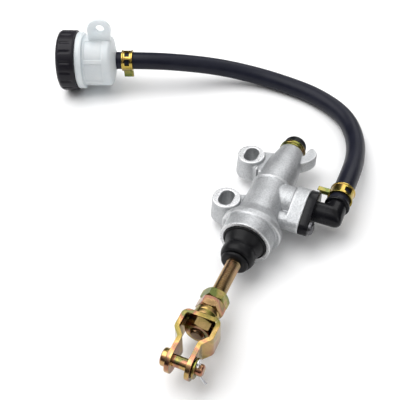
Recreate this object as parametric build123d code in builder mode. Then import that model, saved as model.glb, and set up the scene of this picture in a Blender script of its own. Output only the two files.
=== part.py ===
# Rear brake master cylinder with a remote reservoir, as an assembly of separate pieces.
# Millimetres. The origin is midway between the two mounting bosses, on their seat face.
# +Z is the way the mounting bolts come out, and +Y runs along the bore to the outlet.
import os
from math import cos, pi, radians, sin, tan

from build123d import *

os.makedirs("parts", exist_ok=True)

# Clearances
running_gap = 0.05
turning_gap = 0.3
seat_gap = 0.1

# Mounting bosses
slot_spacing = 40.0
slot_width = 8.0
slot_length = 11.8
boss_bottom_radius = 9.1
boss_top_radius = 8.1
boss_height = 14.0
arm_width = 13.0
arm_bottom = 1.5
arm_top = 11.5
rear_web_reach = 16.0
front_web_reach = 10.0
web_side_reach = 9.0
web_knee_x = 5.0
web_root_x = 10.0
rib_thickness = 1.2

# Bore and casting
bore_x = 21.0
bore_z = 10.0
bore_radius = 6.35
bore_front_y = 20.0
mouth_y = -45.0
mouth_radius = 12.5
mouth_depth = 8.5
mouth_wall = 2.2
ring_step = 9.0
flange_half_width = 17.3
flange_half_height = 15.1
collar_flange_length = 3.5
flange_fade_length = 7.0
barrel_radius = 12.0
barrel_end_y = 0.0
neck_root_radius = 11.0
neck_waist_radius = 10.4
outlet_y = 34.0
outlet_radius = 7.8
stop_height = 8.0
port_radius = 5.0
port_depth = 10.0
passage_radius = 1.5

# Retaining hardware in the mouth
recess_radius = 9.0
circlip_thickness = 1.2
circlip_groove_depth = 0.8
washer_thickness = 1.5
washer_hole_radius = 4.2

# Inlet stub and elbow
inlet_y = -7.0
stub_radius = 10.2
flange_radius = 11.3
flange_thickness = 8.0
flange_face_x = 44.5
spigot_radius = 4.9
spigot_length = 8.0
elbow_screw_pitch = 13.7
screw_lobe_radius = 5.0
screw_boss_length = 19.0
screw_radius = 2.0
screw_length = 14.0
screw_hole_depth = 11.0
screw_head_radius = 3.9
screw_head_height = 3.0
elbow_plate_thickness = 5.0
elbow_tube_radius = 6.0
elbow_reach = 9.9
elbow_passage_radius = 2.2

# Hose
hose_radius = 6.0
hose_bore_radius = 3.4
barb_length = 12.0
clamp_width = 7.5
clamp_thickness = 1.0
clamp_inset = 4.0
clamp_ear_length = 5.0

# Piston set
piston_waist_radius = 4.0
piston_nose_radius = 3.0
ball_radius = 4.5
ball_depth = 3.0
cup_length = 3.6
spring_wire_radius = 0.55
spring_coil_radius = 4.6
spring_turns = 7

# Pushrod, nuts and clevis
rod_radius = 4.0
rod_neck_radius = 3.0
rod_neck_length = 20.0
rod_end_y = -109.8
nut_across_flats = 13.0
lock_nut_start_y = -83.5
lock_nut_length = 5.3
jam_nut_length = 5.7
clevis_nut_length = 5.7
spring_washer_length = 2.5
spring_washer_radius = 6.4
spacer_radius = 6.8
clevis_base_y = -100.2
clevis_thickness = 2.4
clevis_half_depth = 6.75
clevis_ear_gap = 8.0
clevis_shoulder_y = -111.8
clevis_ear_start_y = -116.3
clevis_bend_radius = 2.6
pin_y = -126.0
pin_radius = 3.0
pin_head_radius = 4.6
pin_head_length = 3.0
pin_tail = 11.4
pin_washer_thickness = 1.0
pin_washer_radius = 5.2
cotter_x = 30.0
cotter_wire_radius = 0.6
cotter_eye_radius = 1.7

# Reservoir
reservoir_angle = 22.0
reservoir_z = 15.5
bottle_radius = 17.5
bottle_wall = 2.0
bottle_length = 24.1
shoulder_length = 2.6
ring_radius = 19.7
ring_length = 4.5
bottle_neck_radius = 18.4
bottle_neck_length = 9.0
cap_radius = 20.9
cap_length = 14.0
cap_top_thickness = 2.4
cap_rib_count = 18
cap_groove_radius = 1.6
tab_thickness = 3.0
tab_radius = 8.2
tab_centre_s = -9.8
tab_centre_height = 24.8
tab_hole_radius = 2.75
tab_hole_s = -9.0
tab_hole_height = 26.3
diaphragm_depth = 8.0

# Outlet hardware
crush_washer_thickness = 1.5
crush_washer_radius = 7.9
bolt_flange_radius = 8.2
bolt_flange_thickness = 2.4
bolt_head_radius = 5.6
bolt_head_length = 4.4
dust_cap_radius = 7.6
dust_cap_length = 6.6
dust_cap_wall = 1.6

# Places worked out from the sizes above
clevis_outer_half_width = nut_across_flats / 2 / cos(pi / 6) + 0.4 + clevis_thickness
bore_plane = Plane(origin=(bore_x, 0, bore_z))
bore_axis = Axis((bore_x, 0, bore_z), (0, 1, 0))
boss_places = [(0, -slot_spacing / 2), (0, slot_spacing / 2)]
recess_y = mouth_y + mouth_depth
circlip_y = recess_y + 1.0
stop_washer_y = circlip_y + circlip_thickness
bore_back_y = stop_washer_y + washer_thickness
flange_back_x = flange_face_x - flange_thickness
screw_y = inlet_y - elbow_screw_pitch
plate_face_x = flange_face_x + elbow_plate_thickness
elbow_x = plate_face_x + elbow_reach
hose_start_y = inlet_y + 10.0


def along_bore(y):
    # A plane across the bore at height y along it, with its normal along +Y.
    return Plane(origin=(bore_x, y, bore_z), x_dir=(1, 0, 0), z_dir=(0, 1, 0))


def turned(plane, *points):
    # The closed outline of a turned piece, as (radius, distance along the axis) pairs.
    with BuildSketch(plane) as outline:
        with BuildLine():
            Polyline(*points, close=True)
        make_face()
    return outline.sketch


def ring_outline(plane, inner, outer, start, end):
    return turned(plane, (inner, start), (outer, start), (outer, end), (inner, end))


# Casting: barrel, neck, collar, bosses, inlet stub and banjo stop
with BuildPart() as cylinder_body:
    with BuildSketch(bore_plane):
        with BuildLine():
            Polyline(
                (neck_root_radius, barrel_end_y),
                (barrel_radius - 0.8, barrel_end_y),
                (barrel_radius, barrel_end_y - 0.8),
                (barrel_radius, mouth_y),
                (0, mouth_y),
                (0, outlet_y),
                (outlet_radius, outlet_y),
            )
            ThreePointArc(
                (outlet_radius, outlet_y),
                (neck_waist_radius, (barrel_end_y + outlet_y) / 2 + 1.0),
                (neck_root_radius, barrel_end_y),
            )
        make_face()
    revolve(axis=bore_axis)
    with BuildSketch(along_bore(mouth_y)):
        Circle(mouth_radius + mouth_wall)
    extrude(amount=ring_step + 1.0)
    with BuildSketch(along_bore(mouth_y + ring_step)):
        Ellipse(flange_half_width, flange_half_height)
    extrude(amount=collar_flange_length)
    with BuildSketch(along_bore(mouth_y + ring_step + collar_flange_length)):
        Ellipse(flange_half_width, flange_half_height)
    with BuildSketch(along_bore(mouth_y + ring_step + collar_flange_length + flange_fade_length)):
        Circle(barrel_radius)
    loft()
    for place in boss_places:
        with Locations((place[0], place[1], boss_height / 2)):
            Cone(boss_bottom_radius, boss_top_radius, boss_height)
    with BuildSketch(Plane.XY.offset(arm_bottom)):
        for place_y, reach in ((-slot_spacing / 2, rear_web_reach), (slot_spacing / 2, front_web_reach)):
            with BuildLine():
                Polyline(
                    (0, place_y - arm_width / 2),
                    (web_knee_x, place_y - arm_width / 2 - 1.5),
                    (web_root_x, place_y - reach),
                    (bore_x, place_y - reach),
                    (bore_x, place_y + web_side_reach),
                    (web_root_x, place_y + web_side_reach),
                    (web_knee_x, place_y + arm_width / 2 + 1.0),
                    (0, place_y + arm_width / 2),
                    close=True,
                )
            make_face()
    extrude(amount=arm_top - arm_bottom)
    with BuildSketch(Plane.XY.offset(arm_bottom - 1.0)):
        for rib_x in (9.6, 12.6):
            with Locations((rib_x, slot_spacing / 2 - arm_width / 2 + 1.0)):
                Rectangle(rib_thickness, arm_width / 2)
    extrude(amount=arm_top - arm_bottom)
    with BuildSketch(Plane.YZ.offset(bore_x)):
        with Locations((inlet_y, bore_z)):
            Circle(stub_radius)
    extrude(amount=flange_back_x - bore_x)
    with BuildSketch(Plane.YZ.offset(flange_face_x - screw_boss_length)):
        with Locations((screw_y, bore_z)):
            Circle(screw_lobe_radius)
    extrude(amount=screw_boss_length)
    with BuildSketch(Plane.YZ.offset(flange_back_x)):
        with Locations((inlet_y, bore_z)):
            Circle(flange_radius)
        with Locations((screw_y, bore_z)):
            Circle(screw_lobe_radius)
        make_hull()
    extrude(amount=flange_thickness)
    with BuildSketch(Plane.XY.offset(bore_z - stop_height / 2)):
        with BuildLine():
            Spline(
                (bore_x + 5.5, outlet_y - 12.0),
                (bore_x + 9.5, outlet_y - 10.5),
                (bore_x + 12.5, outlet_y - 8.0),
                (bore_x + 15.3, outlet_y - 3.5),
                (bore_x + 15.9, outlet_y + 0.5),
                (bore_x + 13.8, outlet_y + 4.2),
                (bore_x + 11.4, outlet_y + 5.3),
                (bore_x + 9.7, outlet_y + 2.8),
                (bore_x + 9.0, outlet_y - 2.0),
                (bore_x + 5.5, outlet_y - 5.0),
            )
            Line((bore_x + 5.5, outlet_y - 5.0), (bore_x + 5.5, outlet_y - 12.0))
        make_face()
    extrude(amount=stop_height)
    # Bore, mouth, circlip groove, passage and outlet port
    groove_radius = recess_radius + circlip_groove_depth
    revolve(
        turned(
            bore_plane,
            (0, mouth_y - 1.0),
            (mouth_radius, mouth_y - 1.0),
            (mouth_radius, recess_y),
            (recess_radius, recess_y),
            (recess_radius, circlip_y),
            (groove_radius, circlip_y),
            (groove_radius, stop_washer_y),
            (recess_radius, stop_washer_y),
            (recess_radius, bore_back_y),
            (bore_radius, bore_back_y),
            (bore_radius, bore_front_y),
            (passage_radius, bore_front_y),
            (passage_radius, outlet_y - port_depth),
            (port_radius, outlet_y - port_depth),
            (port_radius, outlet_y + 1.0),
            (0, outlet_y + 1.0),
        ),
        axis=bore_axis,
        mode=Mode.SUBTRACT,
    )
    with BuildSketch(Plane.YZ.offset(flange_face_x)):
        with Locations((inlet_y, bore_z)):
            Circle(spigot_radius + seat_gap)
    extrude(amount=-(spigot_length + 1.0), mode=Mode.SUBTRACT)
    with BuildSketch(Plane.YZ.offset(flange_face_x)):
        with Locations((inlet_y, bore_z)):
            Circle(passage_radius)
    extrude(amount=-(flange_face_x - bore_x), mode=Mode.SUBTRACT)
    with BuildSketch(Plane.YZ.offset(flange_face_x)):
        with Locations((screw_y, bore_z)):
            Circle(screw_radius + running_gap)
    extrude(amount=-screw_hole_depth, mode=Mode.SUBTRACT)
    with BuildSketch(Plane.XY):
        with Locations(*boss_places):
            SlotOverall(slot_length, slot_width, rotation=90)
    extrude(amount=boss_height, mode=Mode.SUBTRACT)
cylinder_body.part.label = "cylinder_body"
export_step(cylinder_body.part, "parts/cylinder_body.step")

# Piston, with its rear socket for the ball of the pushrod
piston_radius = bore_radius - running_gap
piston_back_y = bore_back_y + 2 * seat_gap
ball_y = piston_back_y + ball_depth
socket_radius = ball_radius + 0.06
rear_cup_y = ball_y + socket_radius + 1.4
front_land_y = rear_cup_y + cup_length + 5.0
front_cup_y = front_land_y + 2.2
nose_y = front_cup_y + cup_length + 1.3
with BuildPart() as piston:
    revolve(
        turned(
            bore_plane,
            (0, piston_back_y),
            (piston_radius, piston_back_y),
            (piston_radius, rear_cup_y),
            (piston_waist_radius, rear_cup_y),
            (piston_waist_radius, rear_cup_y + cup_length),
            (piston_radius, rear_cup_y + cup_length),
            (piston_radius, rear_cup_y + cup_length + 1.3),
            (piston_waist_radius, rear_cup_y + cup_length + 1.3),
            (piston_waist_radius, front_land_y),
            (piston_radius, front_land_y),
            (piston_radius, front_cup_y),
            (piston_nose_radius, front_cup_y),
            (piston_nose_radius, nose_y),
            (0, nose_y),
        ),
        axis=bore_axis,
    )
    with Locations((bore_x, ball_y, bore_z)):
        Sphere(socket_radius, mode=Mode.SUBTRACT)
    revolve(
        ring_outline(bore_plane, 0, socket_radius, piston_back_y - 1.0, ball_y),
        axis=bore_axis,
        mode=Mode.SUBTRACT,
    )
piston.part.label = "piston"
export_step(piston.part, "parts/piston.step")


def lip_seal(inner, start):
    # A rubber cup whose open lip faces the outlet.
    outer = bore_radius - running_gap
    end = start + cup_length - seat_gap
    with BuildPart() as seal:
        revolve(
            turned(
                bore_plane,
                (inner, start),
                (outer - 0.4, start),
                (outer, end),
                (outer - 0.9, end),
                (inner + 1.2, start + 1.4),
                (inner + 0.8, end - 0.6),
                (inner, end - 0.6),
            ),
            axis=bore_axis,
        )
    return seal


primary_cup = lip_seal(piston_nose_radius + seat_gap, front_cup_y + seat_gap)
primary_cup.part.label = "primary_cup"
export_step(primary_cup.part, "parts/primary_cup.step")

secondary_cup = lip_seal(piston_waist_radius + seat_gap, rear_cup_y + seat_gap)
secondary_cup.part.label = "secondary_cup"
export_step(secondary_cup.part, "parts/secondary_cup.step")

seat_y = front_cup_y + cup_length + seat_gap
with BuildPart() as spring_seat:
    revolve(
        ring_outline(bore_plane, piston_nose_radius + seat_gap, 5.6, seat_y, seat_y + 1.0),
        axis=bore_axis,
    )
spring_seat.part.label = "spring_seat"
export_step(spring_seat.part, "parts/spring_seat.step")

# Return spring, from its seat to the closed end of the bore
spring_start_y = seat_y + 1.0 + spring_wire_radius + seat_gap
spring_end_y = bore_front_y - spring_wire_radius - seat_gap
spring_height = spring_end_y - spring_start_y
with BuildPart() as return_spring:
    with BuildLine() as coil:
        Helix(
            spring_height / spring_turns,
            spring_height,
            spring_coil_radius,
            center=(bore_x, spring_start_y, bore_z),
            direction=(0, 1, 0),
        )
    with BuildSketch(Plane(origin=coil.line @ 0, z_dir=coil.line % 0)):
        Circle(spring_wire_radius)
    sweep(path=coil.line, is_frenet=True)
return_spring.part.label = "return_spring"
export_step(return_spring.part, "parts/return_spring.step")

with BuildPart() as stop_washer:
    revolve(
        ring_outline(
            bore_plane,
            washer_hole_radius,
            recess_radius - seat_gap,
            stop_washer_y + seat_gap,
            bore_back_y,
        ),
        axis=bore_axis,
    )
stop_washer.part.label = "stop_washer"
export_step(stop_washer.part, "parts/stop_washer.step")

# Circlip: an open ring with two drilled lugs
with BuildPart() as circlip:
    with BuildSketch(along_bore(circlip_y + seat_gap / 2)):
        Circle(groove_radius - seat_gap)
        Circle(groove_radius - 2.4, mode=Mode.SUBTRACT)
        with Locations((0, groove_radius - 1.0)):
            Rectangle(5.0, 4.0, mode=Mode.SUBTRACT)
        with Locations((-3.4, groove_radius - 3.0), (3.4, groove_radius - 3.0)):
            Circle(1.8)
        with Locations((-3.4, groove_radius - 3.0), (3.4, groove_radius - 3.0)):
            Circle(0.7, mode=Mode.SUBTRACT)
    extrude(amount=circlip_thickness - seat_gap)
circlip.part.label = "circlip"
export_step(circlip.part, "parts/circlip.step")

# Rubber boot: a thick rim in the mouth, a waist, and a bulb that grips the rod
boot_rim_radius = mouth_radius - seat_gap
boot_lip_radius = rod_radius + seat_gap
with BuildPart() as dust_boot:
    revolve(
        turned(
            bore_plane,
            (boot_rim_radius, recess_y - seat_gap),
            (boot_rim_radius, mouth_y),
            (11.4, mouth_y - 2.2),
            (8.6, mouth_y - 4.2),
            (8.2, mouth_y - 5.2),
            (9.0, mouth_y - 7.2),
            (9.1, mouth_y - 11.2),
            (8.0, mouth_y - 14.0),
            (6.2, mouth_y - 16.0),
            (boot_lip_radius, mouth_y - 16.0),
            (boot_lip_radius, mouth_y - 13.4),
            (6.8, mouth_y - 12.0),
            (7.3, mouth_y - 8.0),
            (6.4, mouth_y - 5.2),
            (7.2, mouth_y - 3.0),
            (9.8, mouth_y - 0.6),
            (10.4, recess_y - 3.0),
            (10.4, recess_y - seat_gap),
        ),
        axis=bore_axis,
    )
dust_boot.part.label = "dust_boot"
export_step(dust_boot.part, "parts/dust_boot.step")

# Pushrod: a ball that sits in the piston, a neck and a long threaded shank
with BuildPart() as pushrod:
    with Locations((bore_x, ball_y, bore_z)):
        Sphere(ball_radius)
    revolve(
        turned(
            bore_plane,
            (0, ball_y),
            (rod_neck_radius, ball_y),
            (rod_neck_radius, ball_y - rod_neck_length),
            (rod_radius, ball_y - rod_neck_length - 1.0),
            (rod_radius, rod_end_y + 0.8),
            (rod_radius - 0.8, rod_end_y),
            (0, rod_end_y),
        ),
        axis=bore_axis,
    )
pushrod.part.label = "pushrod"
export_step(pushrod.part, "parts/pushrod.step")


def hex_nut(start, length, turn):
    # A nut on the rod that starts at y = start and runs towards the clevis.
    corner_radius = nut_across_flats / 2 / cos(pi / 6)
    with BuildPart() as nut:
        with BuildSketch(along_bore(start - length)):
            RegularPolygon(nut_across_flats / 2, 6, major_radius=False, rotation=turn)
            Circle(rod_radius + running_gap, mode=Mode.SUBTRACT)
        extrude(amount=length)
        revolve(
            turned(
                bore_plane,
                (0, start - length),
                (nut_across_flats / 2 - 0.2, start - length),
                (corner_radius, start - length + 0.9),
                (corner_radius, start - 0.9),
                (nut_across_flats / 2 - 0.2, start),
                (0, start),
            ),
            axis=bore_axis,
            mode=Mode.INTERSECT,
        )
    return nut


lock_nut = hex_nut(lock_nut_start_y, lock_nut_length, 12)
lock_nut.part.label = "lock_nut"
export_step(lock_nut.part, "parts/lock_nut.step")

jam_nut_start_y = lock_nut_start_y - lock_nut_length - seat_gap
jam_nut = hex_nut(jam_nut_start_y, jam_nut_length, 0)
jam_nut.part.label = "jam_nut"
export_step(jam_nut.part, "parts/jam_nut.step")

clevis_nut_start_y = clevis_base_y - clevis_thickness - seat_gap
clevis_nut = hex_nut(clevis_nut_start_y, clevis_nut_length, 18)
clevis_nut.part.label = "clevis_nut"
export_step(clevis_nut.part, "parts/clevis_nut.step")

# Split spring washer and spacer between the jam nut and the clevis
spring_washer_y = jam_nut_start_y - jam_nut_length - seat_gap
spacer_y = spring_washer_y - spring_washer_length - seat_gap
with BuildPart() as spring_washer:
    with BuildSketch(along_bore(spring_washer_y - spring_washer_length)):
        Circle(spring_washer_radius)
        Circle(rod_radius + running_gap, mode=Mode.SUBTRACT)
        with PolarLocations(spring_washer_radius, 1, 160):
            Rectangle(2 * spring_washer_radius - 6.0, 0.9, mode=Mode.SUBTRACT)
    extrude(amount=spring_washer_length)
spring_washer.part.label = "spring_washer"
export_step(spring_washer.part, "parts/spring_washer.step")

with BuildPart() as rod_spacer:
    revolve(
        ring_outline(
            bore_plane, rod_radius + running_gap, spacer_radius, clevis_base_y + seat_gap, spacer_y
        ),
        axis=bore_axis,
    )
rod_spacer.part.label = "rod_spacer"
export_step(rod_spacer.part, "parts/rod_spacer.step")

# Clevis: one strip bent to a stepped U, with a rod hole in its base and a pin hole in each ear
ear_centre = clevis_ear_gap / 2 + clevis_thickness / 2
body_centre = clevis_outer_half_width - clevis_thickness / 2
base_centre_y = clevis_base_y - clevis_thickness / 2
ear_end_y = pin_y - clevis_half_depth
with BuildPart() as clevis:
    with BuildSketch(Plane.XY.offset(bore_z - clevis_half_depth)):
        with BuildLine():
            strip_line = FilletPolyline(
                (bore_x - ear_centre, ear_end_y),
                (bore_x - ear_centre, clevis_ear_start_y),
                (bore_x - body_centre, clevis_shoulder_y),
                (bore_x - body_centre, base_centre_y),
                (bore_x + body_centre, base_centre_y),
                (bore_x + body_centre, clevis_shoulder_y),
                (bore_x + ear_centre, clevis_ear_start_y),
                (bore_x + ear_centre, ear_end_y),
                radius=clevis_bend_radius,
            )
            offset(amount=clevis_thickness / 2, side=Side.BOTH)
        make_face()
    extrude(amount=2 * clevis_half_depth)
    with BuildSketch(Plane.YZ.offset(bore_x)) as ear_outline:
        with Locations(((pin_y + clevis_base_y) / 2, bore_z)):
            Rectangle(clevis_base_y - pin_y, 2 * clevis_half_depth)
        with Locations((pin_y, bore_z)):
            Circle(clevis_half_depth)
    extrude(amount=clevis_outer_half_width, both=True, mode=Mode.INTERSECT)
    with BuildSketch(along_bore(clevis_base_y - clevis_thickness)):
        Circle(rod_radius + turning_gap)
    extrude(amount=clevis_thickness, mode=Mode.SUBTRACT)
    with BuildSketch(Plane.YZ.offset(bore_x)):
        with Locations((pin_y, bore_z)):
            Circle(pin_radius + running_gap)
    extrude(amount=clevis_outer_half_width, both=True, mode=Mode.SUBTRACT)
clevis.part.label = "clevis"
export_step(clevis.part, "parts/clevis.step")

# Clevis pin along X, with its head on the boss side and a cross hole for the cotter
ear_outer = clevis_ear_gap / 2 + clevis_thickness
pin_plane = Plane(origin=(bore_x, pin_y, bore_z), x_dir=(0, 0, 1), z_dir=(0, 1, 0))
pin_axis = Axis((bore_x, pin_y, bore_z), (1, 0, 0))
head_x = -ear_outer - turning_gap
with BuildPart() as clevis_pin:
    revolve(
        turned(
            pin_plane,
            (0, head_x - pin_head_length),
            (pin_head_radius - 0.6, head_x - pin_head_length),
            (pin_head_radius, head_x - pin_head_length + 0.6),
            (pin_head_radius, head_x),
            (pin_radius, head_x),
            (pin_radius, pin_tail - 0.7),
            (pin_radius - 0.7, pin_tail),
            (0, pin_tail),
        ),
        axis=pin_axis,
    )
    with BuildSketch(Plane.XY.offset(bore_z - pin_radius)):
        with Locations((cotter_x, pin_y)):
            SlotOverall(4 * cotter_wire_radius + 0.4, 2 * cotter_wire_radius + 0.4, rotation=90)
    extrude(amount=2 * pin_radius, mode=Mode.SUBTRACT)
clevis_pin.part.label = "clevis_pin"
export_step(clevis_pin.part, "parts/clevis_pin.step")

with BuildPart() as pin_washer:
    revolve(
        ring_outline(
            pin_plane,
            pin_radius + seat_gap,
            pin_washer_radius,
            ear_outer + turning_gap,
            ear_outer + turning_gap + pin_washer_thickness,
        ),
        axis=pin_axis,
    )
pin_washer.part.label = "pin_washer"
export_step(pin_washer.part, "parts/pin_washer.step")

# Cotter: an eye above the pin and two legs through it, spread below
leg_side = cotter_wire_radius + 0.05
leg_top_z = bore_z + pin_radius + 1.0
leg_bottom_z = bore_z - pin_radius - 1.4
eye_centre_z = leg_top_z + cotter_eye_radius + 0.8
with BuildPart() as cotter_pin:
    with BuildLine() as cotter_line:
        FilletPolyline(
            (cotter_x + 4.6, pin_y - leg_side - 1.2, leg_bottom_z - 4.2),
            (cotter_x, pin_y - leg_side, leg_bottom_z),
            (cotter_x, pin_y - leg_side, leg_top_z),
            (cotter_x, pin_y - cotter_eye_radius - 0.6, leg_top_z + 1.2),
            (cotter_x, pin_y - cotter_eye_radius - 0.6, eye_centre_z + cotter_eye_radius),
            (cotter_x, pin_y + cotter_eye_radius + 0.6, eye_centre_z + cotter_eye_radius),
            (cotter_x, pin_y + cotter_eye_radius + 0.6, leg_top_z + 1.2),
            (cotter_x, pin_y + leg_side, leg_top_z),
            (cotter_x, pin_y + leg_side, leg_bottom_z),
            (cotter_x + 1.4, pin_y + leg_side + 3.0, leg_bottom_z - 2.4),
            radius=0.7,
        )
    with BuildSketch(Plane(origin=cotter_line.line @ 0, z_dir=cotter_line.line % 0)):
        Circle(cotter_wire_radius)
    sweep(path=cotter_line.line)
cotter_pin.part.label = "cotter_pin"
export_step(cotter_pin.part, "parts/cotter_pin.step")

# Inlet elbow: flange plate, spigot, mitred corner and hose barb, all drilled through
with BuildPart() as inlet_elbow:
    with BuildSketch(Plane.YZ.offset(flange_face_x)):
        with Locations((inlet_y, bore_z)):
            Circle(flange_radius)
        with Locations((screw_y, bore_z)):
            Circle(screw_lobe_radius)
        make_hull()
    extrude(amount=elbow_plate_thickness)
    with BuildSketch(Plane.YZ.offset(flange_face_x - spigot_length)):
        with Locations((inlet_y, bore_z)):
            Circle(spigot_radius)
    extrude(amount=spigot_length + elbow_plate_thickness)
    with BuildSketch(Plane.YZ.offset(plate_face_x)):
        with Locations((inlet_y, bore_z)):
            Circle(elbow_tube_radius)
    extrude(amount=elbow_reach)
    with Locations((elbow_x, inlet_y, bore_z)):
        Sphere(elbow_tube_radius)
    with BuildSketch(Plane.XZ.offset(-inlet_y)):
        with Locations((elbow_x, bore_z)):
            Circle(elbow_tube_radius)
    extrude(amount=-(hose_start_y - seat_gap - inlet_y))
    with BuildSketch(Plane.XZ.offset(-inlet_y)):
        with Locations((elbow_x, bore_z)):
            Circle(hose_bore_radius - running_gap)
    extrude(amount=-(hose_start_y + barb_length - inlet_y))
    with BuildSketch(Plane.XZ.offset(-inlet_y)):
        with Locations((elbow_x, bore_z)):
            Circle(elbow_passage_radius)
    extrude(amount=-(hose_start_y + barb_length - inlet_y), mode=Mode.SUBTRACT)
    with BuildSketch(Plane.YZ.offset(flange_face_x - spigot_length)):
        with Locations((inlet_y, bore_z)):
            Circle(elbow_passage_radius)
    extrude(amount=elbow_x - flange_face_x + spigot_length, mode=Mode.SUBTRACT)
    with BuildSketch(Plane.YZ.offset(flange_face_x)):
        with Locations((screw_y, bore_z)):
            Circle(screw_radius + 0.2)
    extrude(amount=elbow_plate_thickness, mode=Mode.SUBTRACT)
    # Groove for the O-ring on the spigot
    with BuildSketch(Plane.YZ.offset(flange_face_x - spigot_length / 2 - 1.1)):
        with Locations((inlet_y, bore_z)):
            Circle(spigot_radius + 1.0)
            Circle(spigot_radius - 1.2, mode=Mode.SUBTRACT)
    extrude(amount=2.2, mode=Mode.SUBTRACT)
inlet_elbow.part.label = "inlet_elbow"
export_step(inlet_elbow.part, "parts/inlet_elbow.step")

with BuildPart() as elbow_o_ring:
    ring_plane = Plane(
        origin=(flange_face_x - spigot_length / 2, inlet_y, bore_z), x_dir=(0, 1, 0), z_dir=(1, 0, 0)
    )
    with Locations(ring_plane):
        Torus(spigot_radius - 0.55, 0.6)
elbow_o_ring.part.label = "elbow_o_ring"
export_step(elbow_o_ring.part, "parts/elbow_o_ring.step")

# Cross-recess pan screw through the elbow plate
screw_plane = Plane(origin=(plate_face_x, screw_y, bore_z), x_dir=(0, 0, 1), z_dir=(0, 1, 0))
screw_axis = Axis((plate_face_x, screw_y, bore_z), (1, 0, 0))
with BuildPart() as elbow_screw:
    revolve(
        turned(
            screw_plane,
            (0, -screw_length),
            (screw_radius, -screw_length),
            (screw_radius, 0),
            (screw_head_radius, 0),
            (screw_head_radius, screw_head_height - 1.2),
            (screw_head_radius - 1.2, screw_head_height),
            (0, screw_head_height),
        ),
        axis=screw_axis,
    )
    with BuildSketch(Plane.YZ.offset(plate_face_x + screw_head_height - 1.8)):
        with Locations((screw_y, bore_z)):
            Rectangle(4.0, 0.9)
            Rectangle(0.9, 4.0)
    extrude(amount=1.8, mode=Mode.SUBTRACT)
elbow_screw.part.label = "elbow_screw"
export_step(elbow_screw.part, "parts/elbow_screw.step")

# Reservoir frame: s runs along the bottle's axis towards the hose, and s = 0 is where the hose ends
reservoir_dir = (cos(radians(reservoir_angle)), sin(radians(reservoir_angle)), 0)
reservoir_side = (sin(radians(reservoir_angle)), -cos(radians(reservoir_angle)), 0)
reservoir_point = (-122.7, 74.0, reservoir_z)
reservoir_plane = Plane(origin=reservoir_point, x_dir=reservoir_side, z_dir=(0, 0, 1))
reservoir_axis = Axis(reservoir_point, reservoir_dir)


def on_reservoir(s):
    # The point at s along the reservoir's axis.
    return tuple(Vector(reservoir_point) + Vector(reservoir_dir) * s)


def across_reservoir(s):
    return Plane(origin=on_reservoir(s), x_dir=reservoir_side, z_dir=reservoir_dir)


bottle_end = -shoulder_length - bottle_length + ring_length
ring_end = bottle_end - ring_length
neck_end = ring_end - bottle_neck_length
inner_radius = bottle_radius - bottle_wall
tab_back = tab_centre_s - tab_radius
tab_front = tab_centre_s + tab_radius

with BuildPart() as reservoir_bottle:
    revolve(
        turned(
            reservoir_plane,
            (0, barb_length),
            (hose_bore_radius - running_gap, barb_length),
            (hose_bore_radius - running_gap, -seat_gap),
            (6.4, -seat_gap),
            (bottle_radius - 1.5, -shoulder_length),
            (bottle_radius, -shoulder_length - 1.5),
            (bottle_radius, bottle_end),
            (ring_radius, bottle_end),
            (ring_radius, ring_end),
            (bottle_neck_radius, ring_end),
            (bottle_neck_radius, neck_end),
            (0, neck_end),
        ),
        axis=reservoir_axis,
    )
    with BuildSketch(Plane(origin=reservoir_point, x_dir=reservoir_dir, z_dir=reservoir_side)):
        with BuildLine():
            Polyline(
                (tab_back, tab_centre_height),
                (tab_back, 12.0),
                (-3.4, 12.0),
                (tab_front, tab_centre_height),
            )
            ThreePointArc(
                (tab_front, tab_centre_height),
                (tab_centre_s, tab_centre_height + tab_radius),
                (tab_back, tab_centre_height),
            )
        make_face()
        with Locations((tab_hole_s, tab_hole_height)):
            Circle(tab_hole_radius, mode=Mode.SUBTRACT)
    extrude(amount=tab_thickness / 2, both=True)
    revolve(
        turned(
            reservoir_plane,
            (0, neck_end - 1.0),
            (inner_radius, neck_end - 1.0),
            (inner_radius, -shoulder_length - 2.0),
            (elbow_passage_radius, -1.5),
            (elbow_passage_radius, barb_length + 1.0),
            (0, barb_length + 1.0),
        ),
        axis=reservoir_axis,
        mode=Mode.SUBTRACT,
    )
reservoir_bottle.part.label = "reservoir_bottle"
export_step(reservoir_bottle.part, "parts/reservoir_bottle.step")

# Diaphragm: a rubber rim on the bottle's mouth with a cup that hangs into the bottle
rim_thickness = 1.2
rim_start = neck_end - seat_gap
plate_start = rim_start - rim_thickness - seat_gap
with BuildPart() as diaphragm:
    revolve(
        turned(
            reservoir_plane,
            (0, rim_start + diaphragm_depth),
            (11.0, rim_start + diaphragm_depth),
            (inner_radius - 1.0, rim_start + diaphragm_depth - 3.0),
            (inner_radius - 0.5, rim_start),
            (bottle_neck_radius - seat_gap, rim_start),
            (bottle_neck_radius - seat_gap, rim_start - rim_thickness),
            (inner_radius - 1.7, rim_start - rim_thickness),
            (inner_radius - 2.2, rim_start + diaphragm_depth - 3.6),
            (10.4, rim_start + diaphragm_depth - rim_thickness),
            (0, rim_start + diaphragm_depth - rim_thickness),
        ),
        axis=reservoir_axis,
    )
diaphragm.part.label = "diaphragm"
export_step(diaphragm.part, "parts/diaphragm.step")

plate_thickness = 1.0
with BuildPart() as diaphragm_plate:
    revolve(
        ring_outline(
            reservoir_plane, 2.0, bottle_neck_radius - 0.4, plate_start - plate_thickness, plate_start
        ),
        axis=reservoir_axis,
    )
diaphragm_plate.part.label = "diaphragm_plate"
export_step(diaphragm_plate.part, "parts/diaphragm_plate.step")

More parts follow.
